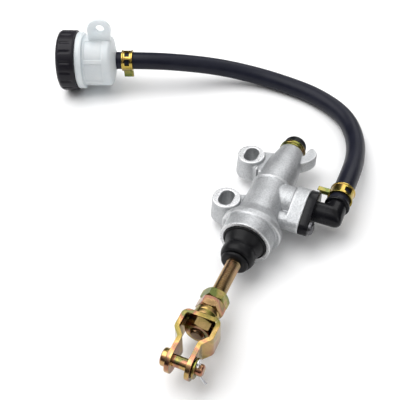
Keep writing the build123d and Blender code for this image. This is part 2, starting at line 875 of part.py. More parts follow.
# Screw cap with a ribbed grip, a smooth rim and a rounded end
cap_rim = ring_end - turning_gap
cap_inner_top = plate_start - plate_thickness - turning_gap
cap_outer_top = cap_inner_top - cap_top_thickness
grip_length = 0.62 * cap_length
with BuildPart() as reservoir_cap:
    revolve(
        turned(
            reservoir_plane,
            (0, cap_outer_top),
            (cap_radius - 3.0, cap_outer_top),
            (cap_radius - 1.0, cap_outer_top + 1.0),
            (cap_radius, cap_outer_top + 3.0),
            (cap_radius, cap_rim),
            (bottle_neck_radius + turning_gap, cap_rim),
            (bottle_neck_radius + turning_gap, cap_inner_top),
            (0, cap_inner_top),
        ),
        axis=reservoir_axis,
    )
    with BuildSketch(across_reservoir(cap_outer_top + 2.0)):
        with PolarLocations(cap_radius + cap_groove_radius - 0.6, cap_rib_count):
            Circle(cap_groove_radius)
    extrude(amount=grip_length - 2.0, mode=Mode.SUBTRACT)
reservoir_cap.part.label = "reservoir_cap"
export_step(reservoir_cap.part, "parts/reservoir_cap.step")

# Hose: its route from the elbow's barb, down to the surface and up to the bottle's nipple
hose_start = (elbow_x, hose_start_y, bore_z)
hose_route = [
    hose_start,
    (elbow_x, hose_start_y + 23.0, bore_z),
    (58.0, 50.0, 5.0),
    (52.0, 75.0, 0.3),
    (39.5, 95.0, 0.2),
    (17.0, 108.0, 0.2),
    (-6.0, 113.0, 0.2),
    (-32.0, 114.0, 1.5),
    (-57.0, 106.0, 7.0),
    (-80.0, 93.5, 12.5),
    on_reservoir(22.0),
    on_reservoir(0.0),
]


def bend_radii(route):
    # Each corner's radius is 0.45 of its shorter run, divided by the tangent of half its turn.
    radii = []
    for before, corner, after in zip(route, route[1:], route[2:]):
        run_in = Vector(corner) - Vector(before)
        run_out = Vector(after) - Vector(corner)
        half_turn = radians(run_in.get_angle(run_out)) / 2
        radii.append(0.45 * min(run_in.length, run_out.length) / tan(half_turn))
    return radii


hose_radii = bend_radii(hose_route)
print("hose bend radii", [round(radius, 1) for radius in hose_radii])
with BuildPart() as hose:
    with BuildLine() as hose_line:
        FilletPolyline(*hose_route, radius=hose_radii)
    with BuildSketch(Plane(origin=hose_line.line @ 0, z_dir=hose_line.line % 0)):
        Circle(hose_radius)
        Circle(hose_bore_radius, mode=Mode.SUBTRACT)
    sweep(path=hose_line.line)
hose_section = pi * (hose_radius**2 - hose_bore_radius**2)
hose_length = sum(piece.length for piece in hose_line.edges())
print("hose length", round(hose_length, 1))
print("hose volume over section times length", hose.part.volume / hose_section / hose_length)
hose.part.label = "hose"
export_step(hose.part, "parts/hose.step")


def spring_clamp(centre_plane, ear_turn):
    # A strip ring round the hose with two ears side by side, standing out at the angle ear_turn.
    inner = hose_radius + running_gap
    outer = inner + clamp_thickness
    reach = clamp_ear_length + clamp_thickness
    with BuildPart() as clamp:
        with BuildSketch(centre_plane):
            Circle(outer)
            Circle(inner, mode=Mode.SUBTRACT)
            with PolarLocations(inner + reach / 2 + 0.2, 1, ear_turn):
                Rectangle(reach, 2 * clamp_thickness + 1.2)
                Rectangle(reach + 1.0, 1.2, mode=Mode.SUBTRACT)
        extrude(amount=clamp_width / 2, both=True)
    return clamp


clamp_offset = clamp_inset + clamp_width / 2
cylinder_clamp_plane = Plane(
    origin=(elbow_x, hose_start_y + clamp_offset, bore_z), x_dir=(1, 0, 0), z_dir=(0, 1, 0)
)
hose_clamp_cylinder = spring_clamp(cylinder_clamp_plane, 180)
hose_clamp_cylinder.part.label = "hose_clamp_cylinder"
export_step(hose_clamp_cylinder.part, "parts/hose_clamp_cylinder.step")

hose_clamp_reservoir = spring_clamp(across_reservoir(clamp_offset), 90)
hose_clamp_reservoir.part.label = "hose_clamp_reservoir"
export_step(hose_clamp_reservoir.part, "parts/hose_clamp_reservoir.step")

# Outlet: sealing washer, flanged banjo bolt and a rubber cap over its head
with BuildPart() as crush_washer:
    revolve(
        ring_outline(
            bore_plane,
            port_radius + seat_gap,
            crush_washer_radius,
            outlet_y,
            outlet_y + crush_washer_thickness,
        ),
        axis=bore_axis,
    )
crush_washer.part.label = "crush_washer"
export_step(crush_washer.part, "parts/crush_washer.step")

bolt_seat_y = outlet_y + crush_washer_thickness
bolt_head_y = bolt_seat_y + bolt_flange_thickness
with BuildPart() as banjo_bolt:
    revolve(
        turned(
            bore_plane,
            (1.2, outlet_y - port_depth + 1.5),
            (port_radius - running_gap, outlet_y - port_depth + 1.5),
            (port_radius - running_gap, bolt_seat_y),
            (bolt_flange_radius, bolt_seat_y),
            (bolt_flange_radius, bolt_head_y - 0.5),
            (bolt_flange_radius - 0.5, bolt_head_y),
            (0, bolt_head_y),
            (0, bolt_seat_y + 0.5),
            (1.2, bolt_seat_y),
        ),
        axis=bore_axis,
    )
    with BuildSketch(along_bore(bolt_head_y)):
        RegularPolygon(bolt_head_radius, 6)
    extrude(amount=bolt_head_length)
banjo_bolt.part.label = "banjo_bolt"
export_step(banjo_bolt.part, "parts/banjo_bolt.step")

cap_start_y = bolt_head_y + seat_gap
cap_end_y = cap_start_y + dust_cap_length
with BuildPart() as dust_cap:
    revolve(
        turned(
            bore_plane,
            (bolt_head_radius + turning_gap, cap_start_y),
            (dust_cap_radius, cap_start_y),
            (dust_cap_radius, cap_end_y - 2.6),
            (dust_cap_radius - 1.0, cap_end_y - 0.9),
            (dust_cap_radius - 2.8, cap_end_y),
            (0, cap_end_y),
            (0, cap_end_y - dust_cap_wall),
            (bolt_head_radius + turning_gap, cap_end_y - dust_cap_wall),
        ),
        axis=bore_axis,
    )
dust_cap.part.label = "dust_cap"
export_step(dust_cap.part, "parts/dust_cap.step")
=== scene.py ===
from math import acos, atan2, cos, degrees, pi, radians, sin, tan

import bmesh
import bpy
import numpy as np
from mathutils import Matrix, Vector


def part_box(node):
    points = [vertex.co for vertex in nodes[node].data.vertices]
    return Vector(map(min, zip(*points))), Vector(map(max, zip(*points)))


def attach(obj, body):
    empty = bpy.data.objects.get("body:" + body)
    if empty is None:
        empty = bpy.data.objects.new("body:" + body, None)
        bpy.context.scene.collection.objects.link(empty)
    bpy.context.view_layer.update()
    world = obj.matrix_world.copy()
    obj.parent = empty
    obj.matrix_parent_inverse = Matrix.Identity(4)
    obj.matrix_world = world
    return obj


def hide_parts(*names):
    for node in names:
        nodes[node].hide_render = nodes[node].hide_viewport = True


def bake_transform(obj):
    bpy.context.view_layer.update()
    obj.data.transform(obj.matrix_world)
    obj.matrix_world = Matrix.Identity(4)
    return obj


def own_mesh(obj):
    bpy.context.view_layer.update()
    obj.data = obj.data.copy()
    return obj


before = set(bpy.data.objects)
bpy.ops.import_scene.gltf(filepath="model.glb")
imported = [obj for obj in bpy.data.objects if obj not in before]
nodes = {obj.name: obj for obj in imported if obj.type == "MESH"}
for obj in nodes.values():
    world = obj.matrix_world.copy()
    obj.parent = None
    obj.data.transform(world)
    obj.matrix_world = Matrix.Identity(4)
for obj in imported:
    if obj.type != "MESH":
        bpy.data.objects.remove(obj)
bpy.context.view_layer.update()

mm = 0.001
scene = bpy.context.scene

# Where the main pieces lie, on the frame's own axes
bodyLow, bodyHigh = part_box("cylinder_body")
boreAxis = Vector((0, 1, 0))
bore = Vector((21, 0, 10)) * mm
reservoirTurn = radians(22)
reservoirAxis = Vector((cos(reservoirTurn), sin(reservoirTurn), 0))
reservoirSide = Vector((sin(reservoirTurn), -cos(reservoirTurn), 0))
reservoirEnd = Vector((-122.7, 74.0, 15.5)) * mm
up = Vector((0, 0, 1))
xAxis = Vector((1, 0, 0))


# Tools that every piece uses
def place(origin, axis, across, radius, along, turn=0.0):
    # a point at that radius, distance along the axis and angle round it, in millimetres
    side = axis.cross(across)
    return origin + axis * along * mm + (across * cos(turn) + side * sin(turn)) * radius * mm


def softOutline(points, radius, steps=4, closed=True):
    # the outline with each corner rounded to that radius, or less where a side is short
    count = len(points)
    rounded = []
    for i, corner in enumerate(points):
        here = Vector(corner)
        if not closed and i in (0, count - 1):
            rounded.append(tuple(here))
            continue
        toBack = Vector(points[i - 1]) - here
        toNext = Vector(points[(i + 1) % count]) - here
        reach = min(radius, 0.45 * toBack.length, 0.45 * toNext.length)
        start = here + toBack.normalized() * reach
        end = here + toNext.normalized() * reach
        for step in range(steps + 1):
            t = step / steps
            rounded.append(tuple(start.lerp(here, t).lerp(here.lerp(end, t), t)))
    return rounded


def lathe(bm, outline, origin, axis, across, steps=96, closed=True):
    # turns an outline of (radius, along) pairs round the axis
    verts = [bm.verts.new(place(origin, axis, across, r, a)) for r, a in outline]
    edges = [bm.edges.new(pair) for pair in zip(verts, verts[1:])]
    if closed:
        edges.append(bm.edges.new((verts[-1], verts[0])))
    bmesh.ops.spin(bm, geom=verts + edges, cent=origin, axis=axis, dvec=(0, 0, 0),
                   angle=2 * pi, steps=steps, use_merge=True, use_duplicate=False)
    bmesh.ops.remove_doubles(bm, verts=bm.verts, dist=0.002 * mm)


def addPiece(name, bm, material, body, replaced=(), sharpAngle=38):
    bmesh.ops.recalc_face_normals(bm, faces=bm.faces)
    mesh = bpy.data.meshes.new(name)
    bm.to_mesh(mesh)
    bm.free()
    mesh.materials.append(material)
    mesh.shade_smooth()
    mesh.set_sharp_from_angle(angle=radians(sharpAngle))
    piece = bpy.data.objects.new(name, mesh)
    scene.collection.objects.link(piece)
    if replaced:
        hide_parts(*replaced)
    if body:
        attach(piece, body)
    return piece


def turnedPiece(name, outline, origin, axis, across, material, body, replaced=(),
                steps=96, closed=True, soften=0.3):
    bm = bmesh.new()
    points = softOutline(outline, soften, closed=closed) if soften else outline
    lathe(bm, points, origin, axis, across, steps, closed)
    return addPiece(name, bm, material, body, replaced)


def addModifier(piece, kind, **values):
    modifier = piece.modifiers.new(kind.title(), kind)
    for key, value in values.items():
        setattr(modifier, key, value)


def bakeModifiers(piece):
    # puts the modifiers' result in the piece's own mesh
    graph = bpy.context.evaluated_depsgraph_get()
    baked = bpy.data.meshes.new_from_object(piece.evaluated_get(graph))
    piece.modifiers.clear()
    piece.data = baked


def cutPiece(piece, cutters):
    # cuts the shapes in a bmesh out of the piece
    mesh = bpy.data.meshes.new("cutter")
    bmesh.ops.recalc_face_normals(cutters, faces=cutters.faces)
    cutters.to_mesh(mesh)
    cutters.free()
    cutter = bpy.data.objects.new("cutter", mesh)
    scene.collection.objects.link(cutter)
    addModifier(piece, "BOOLEAN", operation="DIFFERENCE", solver="EXACT", object=cutter)
    bakeModifiers(piece)
    bpy.data.objects.remove(cutter)
    piece.data.shade_smooth()
    piece.data.set_sharp_from_angle(angle=radians(38))


def addBox(bm, centre, size):
    matrix = Matrix.Translation(Vector(centre) * mm) @ Matrix.Diagonal((*(Vector(size) * mm), 1))
    return bmesh.ops.create_cube(bm, size=1, matrix=matrix)["verts"]


# Shared shader effects
def newGroup(name, inputs, outputs):
    group = bpy.data.node_groups.new(name, "ShaderNodeTree")
    for label, default in inputs:
        socket = group.interface.new_socket(label, in_out="INPUT", socket_type="NodeSocketFloat")
        socket.default_value = default
    for label, kind in outputs:
        group.interface.new_socket(label, in_out="OUTPUT", socket_type=kind)
    return group, group.nodes.new("NodeGroupInput"), group.nodes.new("NodeGroupOutput")


def addNode(tree, kind, **settings):
    # settings are a node's own values, or its inputs when the name starts with a capital
    node = tree.nodes.new(kind)
    for key, value in settings.items():
        if key[0].isupper():
            node.inputs[key.replace("_", " ")].default_value = value
        else:
            setattr(node, key, value)
    return node


def addMath(tree, operation, first, second=0.0, clamp=False):
    node = addNode(tree, "ShaderNodeMath", operation=operation, use_clamp=clamp)
    for i, value in enumerate((first, second)):
        if isinstance(value, (int, float)):
            node.inputs[i].default_value = value
        else:
            tree.links.new(value, node.inputs[i])
    return node.outputs[0]


def addRamp(tree, factor, stops):
    node = addNode(tree, "ShaderNodeValToRGB")
    ramp = node.color_ramp
    while len(ramp.elements) < len(stops):
        ramp.elements.new(0.5)
    for element, (position, colour) in zip(ramp.elements, stops):
        element.position = position
        element.color = (*colour, 1)
    tree.links.new(factor, node.inputs["Fac"])
    return node.outputs["Color"]


def mixColours(tree, factor, first, second):
    node = addNode(tree, "ShaderNodeMix", data_type="RGBA")
    for key, value in ((0, factor), (6, first), (7, second)):
        if isinstance(value, tuple):
            node.inputs[key].default_value = (*value, 1)
        elif isinstance(value, (int, float)):
            node.inputs[key].default_value = value
        else:
            tree.links.new(value, node.inputs[key])
    return node.outputs[2]


def makeGrainGroup():
    # a fine grain and a slow mottle, for castings, rubber and moulded plastic
    group, entry, out = newGroup("surfaceGrain", [("Grain Scale", 1500), ("Mottle Scale", 90)],
                                 [("Grain", "NodeSocketFloat"), ("Mottle", "NodeSocketFloat")])
    coords = addNode(group, "ShaderNodeTexCoord")
    for label, detail in (("Grain", 3), ("Mottle", 4)):
        noise = addNode(group, "ShaderNodeTexNoise", Detail=detail, Roughness=0.6)
        group.links.new(coords.outputs["Object"], noise.inputs["Vector"])
        group.links.new(entry.outputs[label + " Scale"], noise.inputs["Scale"])
        group.links.new(noise.outputs["Fac"], out.inputs[label])
    return group


def makeWearSheenShadeGroup():
    # brighter outer edges, partly wear and partly a painted highlight, and darker inner corners, a
    # painted shade
    group, entry, out = newGroup("edgeWearSheenAndShade", [("Centre", 0.5), ("Gain", 12)],
                                 [("Edge", "NodeSocketFloat"), ("Cavity", "NodeSocketFloat")])
    geometry = addNode(group, "ShaderNodeNewGeometry")
    offset = addMath(group, "SUBTRACT", geometry.outputs["Pointiness"], entry.outputs["Centre"])
    edge = addMath(group, "MULTIPLY", offset, entry.outputs["Gain"], clamp=True)
    cavity = addMath(group, "MULTIPLY", addMath(group, "MULTIPLY", offset, -1.0),
                     entry.outputs["Gain"], clamp=True)
    group.links.new(edge, out.inputs["Edge"])
    group.links.new(cavity, out.inputs["Cavity"])
    return group


def makeZincGroup():
    # the rainbow drift of yellow zinc plate, from gold through olive and pink
    group, entry, out = newGroup("zincDrift", [("Drift Scale", 70), ("Shift", 0.0)],
                                 [("Colour", "NodeSocketColor")])
    coords = addNode(group, "ShaderNodeTexCoord")
    noise = addNode(group, "ShaderNodeTexNoise", Detail=2, Roughness=0.5, Distortion=0.4)
    group.links.new(coords.outputs["Object"], noise.inputs["Vector"])
    group.links.new(entry.outputs["Drift Scale"], noise.inputs["Scale"])
    drift = addMath(group, "ADD", noise.outputs["Fac"], entry.outputs["Shift"], clamp=True)
    colour = addRamp(group, drift, [
        (0.32, (0.08, 0.11, 0.02)),
        (0.42, (0.30, 0.22, 0.05)),
        (0.49, (0.50, 0.33, 0.12)),
        (0.55, (0.38, 0.14, 0.10)),
        (0.61, (0.12, 0.16, 0.06)),
        (0.72, (0.46, 0.34, 0.06)),
    ])
    group.links.new(colour, out.inputs["Colour"])
    return group


grainGroup = makeGrainGroup()
wearSheenShadeGroup = makeWearSheenShadeGroup()
zincGroup = makeZincGroup()


def useGroup(tree, group, **values):
    node = addNode(tree, "ShaderNodeGroup", node_tree=group)
    for key, value in values.items():
        node.inputs[key.replace("_", " ")].default_value = value
    return node


def newMaterial(name, **settings):
    material = bpy.data.materials.new(name)
    material.use_nodes = True
    tree = material.node_tree
    shader = tree.nodes["Principled BSDF"]
    for key, value in settings.items():
        socket = shader.inputs[key.replace("_", " ")]
        socket.default_value = (*value, 1) if isinstance(value, tuple) and len(value) == 3 and \
            socket.type == "RGBA" else value
    return material, tree, shader


def addBump(tree, shader, heights, distance):
    # heights is a list of (value, weight) pairs, summed
    total = None
    for value, weight in heights:
        scaled = addMath(tree, "MULTIPLY", value, weight)
        total = scaled if total is None else addMath(tree, "ADD", total, scaled)
    bump = addNode(tree, "ShaderNodeBump", Distance=distance * mm, Strength=1.0)
    tree.links.new(total, bump.inputs["Height"])
    tree.links.new(bump.outputs["Normal"], shader.inputs["Normal"])


def setRoughness(tree, shader, value, low, high):
    spread = addNode(tree, "ShaderNodeMapRange", To_Min=low, To_Max=high, From_Min=0.3, From_Max=0.7)
    tree.links.new(value, spread.inputs["Value"])
    tree.links.new(spread.outputs["Result"], shader.inputs["Roughness"])


def makeCastAluminium(look):
    material, tree, shader = newMaterial("castAluminium", Metallic=look["metallic"])
    grain = useGroup(tree, grainGroup, Grain_Scale=look["grainScale"], Mottle_Scale=look["mottleScale"])
    mask = addNode(tree, "ShaderNodeAttribute", attribute_name="edgeMask")
    # the edge mask paints edges lighter, partly wear and partly a painted highlight, and hollows darker,
    # a painted shade
    edge = addMath(tree, "MULTIPLY", mask.outputs["Fac"], look["wearSheenShadeGain"], clamp=True)
    cavity = addMath(tree, "MULTIPLY", mask.outputs["Fac"], -look["wearSheenShadeGain"], clamp=True)
    mixed = addMath(tree, "ADD", addMath(tree, "MULTIPLY", grain.outputs["Grain"], 0.65),
                    addMath(tree, "MULTIPLY", grain.outputs["Mottle"], 0.35))
    cast = addRamp(tree, mixed, [(0.38, look["dark"]), (0.62, look["light"])])
    wornAndSheened = mixColours(tree, addMath(tree, "MULTIPLY", edge, 0.85), cast, look["bright"])
    shaded = mixColours(tree, addMath(tree, "MULTIPLY", cavity, 0.6), wornAndSheened, look["cavity"])
    # machined faces: the seats of the bosses, the mouth and the elbow's joint
    coords = addNode(tree, "ShaderNodeTexCoord")
    split = addNode(tree, "ShaderNodeSeparateXYZ")
    tree.links.new(coords.outputs["Object"], split.inputs["Vector"])
    seats = addMath(tree, "GREATER_THAN", split.outputs["Z"], look["seatHeight"] * mm)
    nearBosses = addMath(tree, "LESS_THAN", split.outputs["X"], look["bossReach"] * mm)
    bossTop = addMath(tree, "MULTIPLY", seats, nearBosses)
    faceDepth = look["faceDepth"] * mm
    mouthFace = addMath(tree, "LESS_THAN", split.outputs["Y"], bodyLow.y + faceDepth)
    jointFace = addMath(tree, "GREATER_THAN", split.outputs["X"], bodyHigh.x - faceDepth)
    machined = addMath(tree, "MAXIMUM", addMath(tree, "MAXIMUM", bossTop, mouthFace), jointFace)
    final = mixColours(tree, addMath(tree, "MULTIPLY", machined, 0.35), shaded, look["bright"])
    tree.links.new(final, shader.inputs["Base Color"])
    rough = addNode(tree, "ShaderNodeMapRange", From_Min=0.3, From_Max=0.7,
                    To_Min=look["roughLow"], To_Max=look["roughHigh"])
    tree.links.new(grain.outputs["Grain"], rough.inputs["Value"])
    polish = addMath(tree, "MULTIPLY", machined, 0.12)
    smoother = addMath(tree, "SUBTRACT", rough.outputs["Result"], polish)
    tree.links.new(smoother, shader.inputs["Roughness"])
    addBump(tree, shader, [(grain.outputs["Grain"], 1.0), (grain.outputs["Mottle"], 0.8)],
            look["bumpHeight"])
    return material


def makeZinc(name, look):
    material, tree, shader = newMaterial(name, Metallic=1.0, Coat_Weight=0.15, Coat_Roughness=0.25)
    grain = useGroup(tree, grainGroup, Grain_Scale=1800, Mottle_Scale=160)
    drift = useGroup(tree, zincGroup, Drift_Scale=look["driftScale"], Shift=look["shift"])
    wearSheenShade = useGroup(tree, wearSheenShadeGroup, Centre=0.51, Gain=look["wearSheenShadeGain"])
    tinted = mixColours(tree, look["tintShare"], drift.outputs["Colour"], look["tint"])
    # edges painted brighter, partly wear and partly a painted highlight, and hollows painted darker, a
    # painted shade
    wornAndSheened = mixColours(tree, addMath(tree, "MULTIPLY", wearSheenShade.outputs["Edge"], 0.55), tinted, look["bright"])
    dark = mixColours(tree, addMath(tree, "MULTIPLY", wearSheenShade.outputs["Cavity"], 0.8), wornAndSheened, look["cavity"])
    if "crest" in look:
        # painted shade in the grooves of the thread, darker towards the root
        coords = addNode(tree, "ShaderNodeTexCoord")
        split = addNode(tree, "ShaderNodeSeparateXYZ")
        tree.links.new(coords.outputs["Object"], split.inputs["Vector"])
        radial = addNode(tree, "ShaderNodeCombineXYZ")
        tree.links.new(addMath(tree, "SUBTRACT", split.outputs["X"], bore.x), radial.inputs["X"])
        tree.links.new(addMath(tree, "SUBTRACT", split.outputs["Z"], bore.z), radial.inputs["Z"])
        length = addNode(tree, "ShaderNodeVectorMath", operation="LENGTH")
        tree.links.new(radial.outputs["Vector"], length.inputs[0])
        groove = addNode(tree, "ShaderNodeMapRange", From_Min=look["crest"] * mm,
                         From_Max=look["root"] * mm)
        tree.links.new(length.outputs["Value"], groove.inputs["Value"])
        grooveShade = addMath(tree, "MULTIPLY", groove.outputs["Result"], 0.85)
        dark = mixColours(tree, grooveShade, dark, look["cavity"])
    tree.links.new(dark, shader.inputs["Base Color"])
    setRoughness(tree, shader, grain.outputs["Mottle"], look["roughLow"], look["roughHigh"])
    addBump(tree, shader, [(grain.outputs["Grain"], 0.6), (grain.outputs["Mottle"], 0.6)], 0.03)
    return material


def makeSoft(name, look):
    # rubber and plastic: one colour with a slow drift, a grain and paler edges, partly wear and partly a
    # painted highlight
    material, tree, shader = newMaterial(name, Specular_IOR_Level=look["specular"],
                                         Coat_Weight=look["coat"], Coat_Roughness=0.12)
    grain = useGroup(tree, grainGroup, Grain_Scale=look["grainScale"], Mottle_Scale=look["mottleScale"])
    wearSheenShade = useGroup(tree, wearSheenShadeGroup, Centre=0.51, Gain=8)
    colour = addRamp(tree, grain.outputs["Mottle"], [(0.3, look["dark"]), (0.7, look["light"])])
    wornAndSheened = mixColours(tree, addMath(tree, "MULTIPLY", wearSheenShade.outputs["Edge"], look["edge"]), colour,
                      look["edgeColour"])
    tree.links.new(wornAndSheened, shader.inputs["Base Color"])
    setRoughness(tree, shader, grain.outputs["Mottle"], look["roughLow"], look["roughHigh"])
    addBump(tree, shader, [(grain.outputs["Grain"], 1.0), (grain.outputs["Mottle"], 0.5)],
            look["bumpHeight"])
    return material


def makeMilky(look):
    # the bottle's natural polyethylene lets light into it
    material, tree, shader = newMaterial(
        "milkyPlastic", Roughness=0.34, Subsurface_Weight=look["glow"], Subsurface_Scale=6 * mm,
        Transmission_Weight=look["clear"], IOR=1.5, Specular_IOR_Level=0.45)
    shader.inputs["Subsurface Radius"].default_value = (1.0, 1.0, 1.0)
    grain = useGroup(tree, grainGroup, Grain_Scale=700, Mottle_Scale=60)
    wearSheenShade = useGroup(tree, wearSheenShadeGroup, Centre=0.505, Gain=10)
    colour = addRamp(tree, grain.outputs["Mottle"], [(0.3, look["dark"]), (0.7, look["light"])])
    lit = mixColours(tree, addMath(tree, "MULTIPLY", wearSheenShade.outputs["Edge"], 0.5), colour, look["edge"])
    shaded = mixColours(tree, addMath(tree, "MULTIPLY", wearSheenShade.outputs["Cavity"], 0.7), lit, look["cavity"])
    tree.links.new(shaded, shader.inputs["Base Color"])
    setRoughness(tree, shader, grain.outputs["Mottle"], 0.28, 0.42)
    addBump(tree, shader, [(grain.outputs["Mottle"], 1.0)], 0.05)
    return material


def makeBrightSteel(name, look):
    material, tree, shader = newMaterial(name, Metallic=1.0)
    grain = useGroup(tree, grainGroup, Grain_Scale=1600, Mottle_Scale=220)
    wearSheenShade = useGroup(tree, wearSheenShadeGroup, Centre=0.51, Gain=10)
    colour = addRamp(tree, grain.outputs["Mottle"], [(0.3, look["dark"]), (0.7, look["light"])])
    # edges painted paler, partly wear and partly a painted highlight
    wornAndSheened = mixColours(tree, addMath(tree, "MULTIPLY", wearSheenShade.outputs["Edge"], 0.5), colour, look["edge"])
    tree.links.new(wornAndSheened, shader.inputs["Base Color"])
    setRoughness(tree, shader, grain.outputs["Mottle"], look["roughLow"], look["roughHigh"])
    addBump(tree, shader, [(grain.outputs["Grain"], 1.0)], 0.02)
    return material


# bright is the colour that edges are painted towards, partly wear and partly a painted highlight, and on
# the casting also its machined faces; cavity is a painted shade for hollows
castAluminium = makeCastAluminium({
    "metallic": 0.75, "grainScale": 1150, "mottleScale": 110, "wearSheenShadeGain": 5.0,
    "dark": (0.36, 0.37, 0.38), "light": (0.56, 0.57, 0.58), "bright": (0.92, 0.92, 0.925),
    "cavity": (0.16, 0.16, 0.17), "roughLow": 0.36, "roughHigh": 0.50, "bumpHeight": 0.30,
    "seatHeight": 13.85, "bossReach": 9, "faceDepth": 0.3})
zincGold = makeZinc("zincGold", {
    "driftScale": 75, "shift": 0.0, "wearSheenShadeGain": 1.5, "tint": (0.30, 0.18, 0.06), "tintShare": 0.2,
    "bright": (0.95, 0.86, 0.62), "cavity": (0.07, 0.04, 0.015), "roughLow": 0.14, "roughHigh": 0.28})
zincThread = makeZinc("zincThread", {
    "driftScale": 60, "shift": 0.02, "wearSheenShadeGain": 1.0, "tint": (0.62, 0.42, 0.26), "tintShare": 0.6,
    "bright": (0.95, 0.86, 0.62), "cavity": (0.07, 0.04, 0.015), "roughLow": 0.16, "roughHigh": 0.30,
    "crest": 3.9, "root": 3.45})
zincYellow = makeZinc("zincYellow", {
    "driftScale": 90, "shift": -0.04, "wearSheenShadeGain": 1.5, "tint": (0.50, 0.36, 0.06), "tintShare": 0.65,
    "bright": (0.96, 0.88, 0.55), "cavity": (0.07, 0.05, 0.01), "roughLow": 0.14, "roughHigh": 0.26})
zincPink = makeZinc("zincPink", {
    "driftScale": 80, "shift": 0.06, "wearSheenShadeGain": 1.5, "tint": (0.26, 0.09, 0.06), "tintShare": 0.4,
    "bright": (0.96, 0.80, 0.66), "cavity": (0.08, 0.04, 0.03), "roughLow": 0.14, "roughHigh": 0.28})
zincOlive = makeZinc("zincOlive", {
    "driftScale": 110, "shift": -0.12, "wearSheenShadeGain": 1.5, "tint": (0.12, 0.15, 0.02), "tintShare": 0.45,
    "bright": (0.85, 0.84, 0.50), "cavity": (0.05, 0.05, 0.015), "roughLow": 0.20, "roughHigh": 0.32})
brightSteel = makeBrightSteel("brightSteel", {
    "dark": (0.58, 0.58, 0.60), "light": (0.78, 0.78, 0.80), "edge": (0.92, 0.92, 0.93),
    "roughLow": 0.16, "roughHigh": 0.30})
darkSteel = makeBrightSteel("darkSteel", {
    "dark": (0.06, 0.06, 0.065), "light": (0.15, 0.15, 0.16), "edge": (0.45, 0.45, 0.46),
    "roughLow": 0.28, "roughHigh": 0.42})
pistonAlloy = makeBrightSteel("pistonAlloy", {
    "dark": (0.45, 0.46, 0.50), "light": (0.60, 0.61, 0.65), "edge": (0.8, 0.8, 0.82),
    "roughLow": 0.24, "roughHigh": 0.34})
bootRubber = makeSoft("bootRubber", {
    "dark": (0.005, 0.005, 0.006), "light": (0.010, 0.010, 0.011), "edge": 0.3,
    "edgeColour": (0.02, 0.02, 0.024), "specular": 0.14, "coat": 0.0, "grainScale": 900,
    "mottleScale": 120, "roughLow": 0.30, "roughHigh": 0.44, "bumpHeight": 0.04})
sealRubber = makeSoft("sealRubber", {
    "dark": (0.012, 0.012, 0.012), "light": (0.03, 0.03, 0.03), "edge": 0.2,
    "edgeColour": (0.06, 0.06, 0.06), "specular": 0.4, "coat": 0.0, "grainScale": 900,
    "mottleScale": 120, "roughLow": 0.45, "roughHigh": 0.6, "bumpHeight": 0.03})
blackPlastic = makeSoft("blackPlastic", {
    "dark": (0.003, 0.003, 0.004), "light": (0.008, 0.008, 0.010), "edge": 0.3,
    "edgeColour": (0.04, 0.04, 0.05), "specular": 0.14, "coat": 0.04, "grainScale": 1100,
    "mottleScale": 90, "roughLow": 0.20, "roughHigh": 0.34, "bumpHeight": 0.03})
capPlastic = makeSoft("capPlastic", {
    "dark": (0.007, 0.006, 0.009), "light": (0.014, 0.013, 0.018), "edge": 0.4,
    "edgeColour": (0.04, 0.04, 0.05), "specular": 0.16, "coat": 0.05, "grainScale": 1000,
    "mottleScale": 80, "roughLow": 0.34, "roughHigh": 0.48, "bumpHeight": 0.05})
hoseRubber = makeSoft("hoseRubber", {
    "dark": (0.006, 0.007, 0.014), "light": (0.012, 0.013, 0.024), "edge": 0.2,
    "edgeColour": (0.03, 0.03, 0.045), "specular": 0.18, "coat": 0.0, "grainScale": 800,
    "mottleScale": 70, "roughLow": 0.34, "roughHigh": 0.46, "bumpHeight": 0.05})
milkyPlastic = makeMilky({
    "glow": 0.6, "clear": 0.15, "dark": (0.74, 0.82, 0.86), "light": (0.86, 0.91, 0.93),
    "edge": (0.96, 0.98, 0.98), "cavity": (0.55, 0.62, 0.67)})
print("materials made")


# Camera: where it stands, in millimetres, and the directions that it takes as right, down and forward
cameraFacts = {"spot": (103.84, -279.44, 298.24), "right": (0.91386, 0.40568, -0.01683),
               "down": (0.27973, -0.65909, -0.69810), "forward": (-0.29429, 0.63326, -0.71580),
               "sensor": 36, "lens": 62.56}


def makeCamera():
    right, down, forward = (Vector(cameraFacts[key]) for key in ("right", "down", "forward"))
    data = bpy.data.cameras.new("camera")
    data.sensor_width = cameraFacts["sensor"]
    data.lens = cameraFacts["lens"]
    data.clip_start = 0.01
    camera = bpy.data.objects.new("camera", data)
    scene.collection.objects.link(camera)
    matrix = Matrix((right, -down, -forward)).transposed().to_4x4()
    matrix.translation = Vector(cameraFacts["spot"]) * mm
    camera.matrix_world = matrix
    scene.camera = camera


makeCamera()


# Hose, on the route that the tube in the frame follows
hoseFacts = {"radius": 6.0, "length": 272.2}
hoseRoute = [
    (59.4, 3.0, 10.0), (59.4, 26.0, 10.0), (58.0, 50.0, 5.0), (52.0, 75.0, 0.3),
    (39.5, 95.0, 0.2), (17.0, 108.0, 0.2), (-6.0, 113.0, 0.2), (-32.0, 114.0, 1.5),
    (-57.0, 106.0, 7.0), (-80.0, 93.5, 12.5), (-102.302, 82.241, 15.5), (-122.7, 74.0, 15.5),
]


def makeHose():
    data = bpy.data.curves.new("hose", "CURVE")
    data.dimensions = "3D"
    data.bevel_depth = hoseFacts["radius"] * mm
    data.bevel_resolution = 10
    data.resolution_u = 16
    data.use_fill_caps = True
    spline = data.splines.new("NURBS")
    spline.points.add(len(hoseRoute) - 1)
    for point, spot in zip(spline.points, hoseRoute):
        point.co = (*(Vector(spot) * mm), 1)
    spline.order_u = 3
    spline.use_endpoint_u = True
    data.materials.append(hoseRubber)
    hose = bpy.data.objects.new("hoseRun", data)
    scene.collection.objects.link(hose)
    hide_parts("hose")
    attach(hose, "cylinder")
    return hose


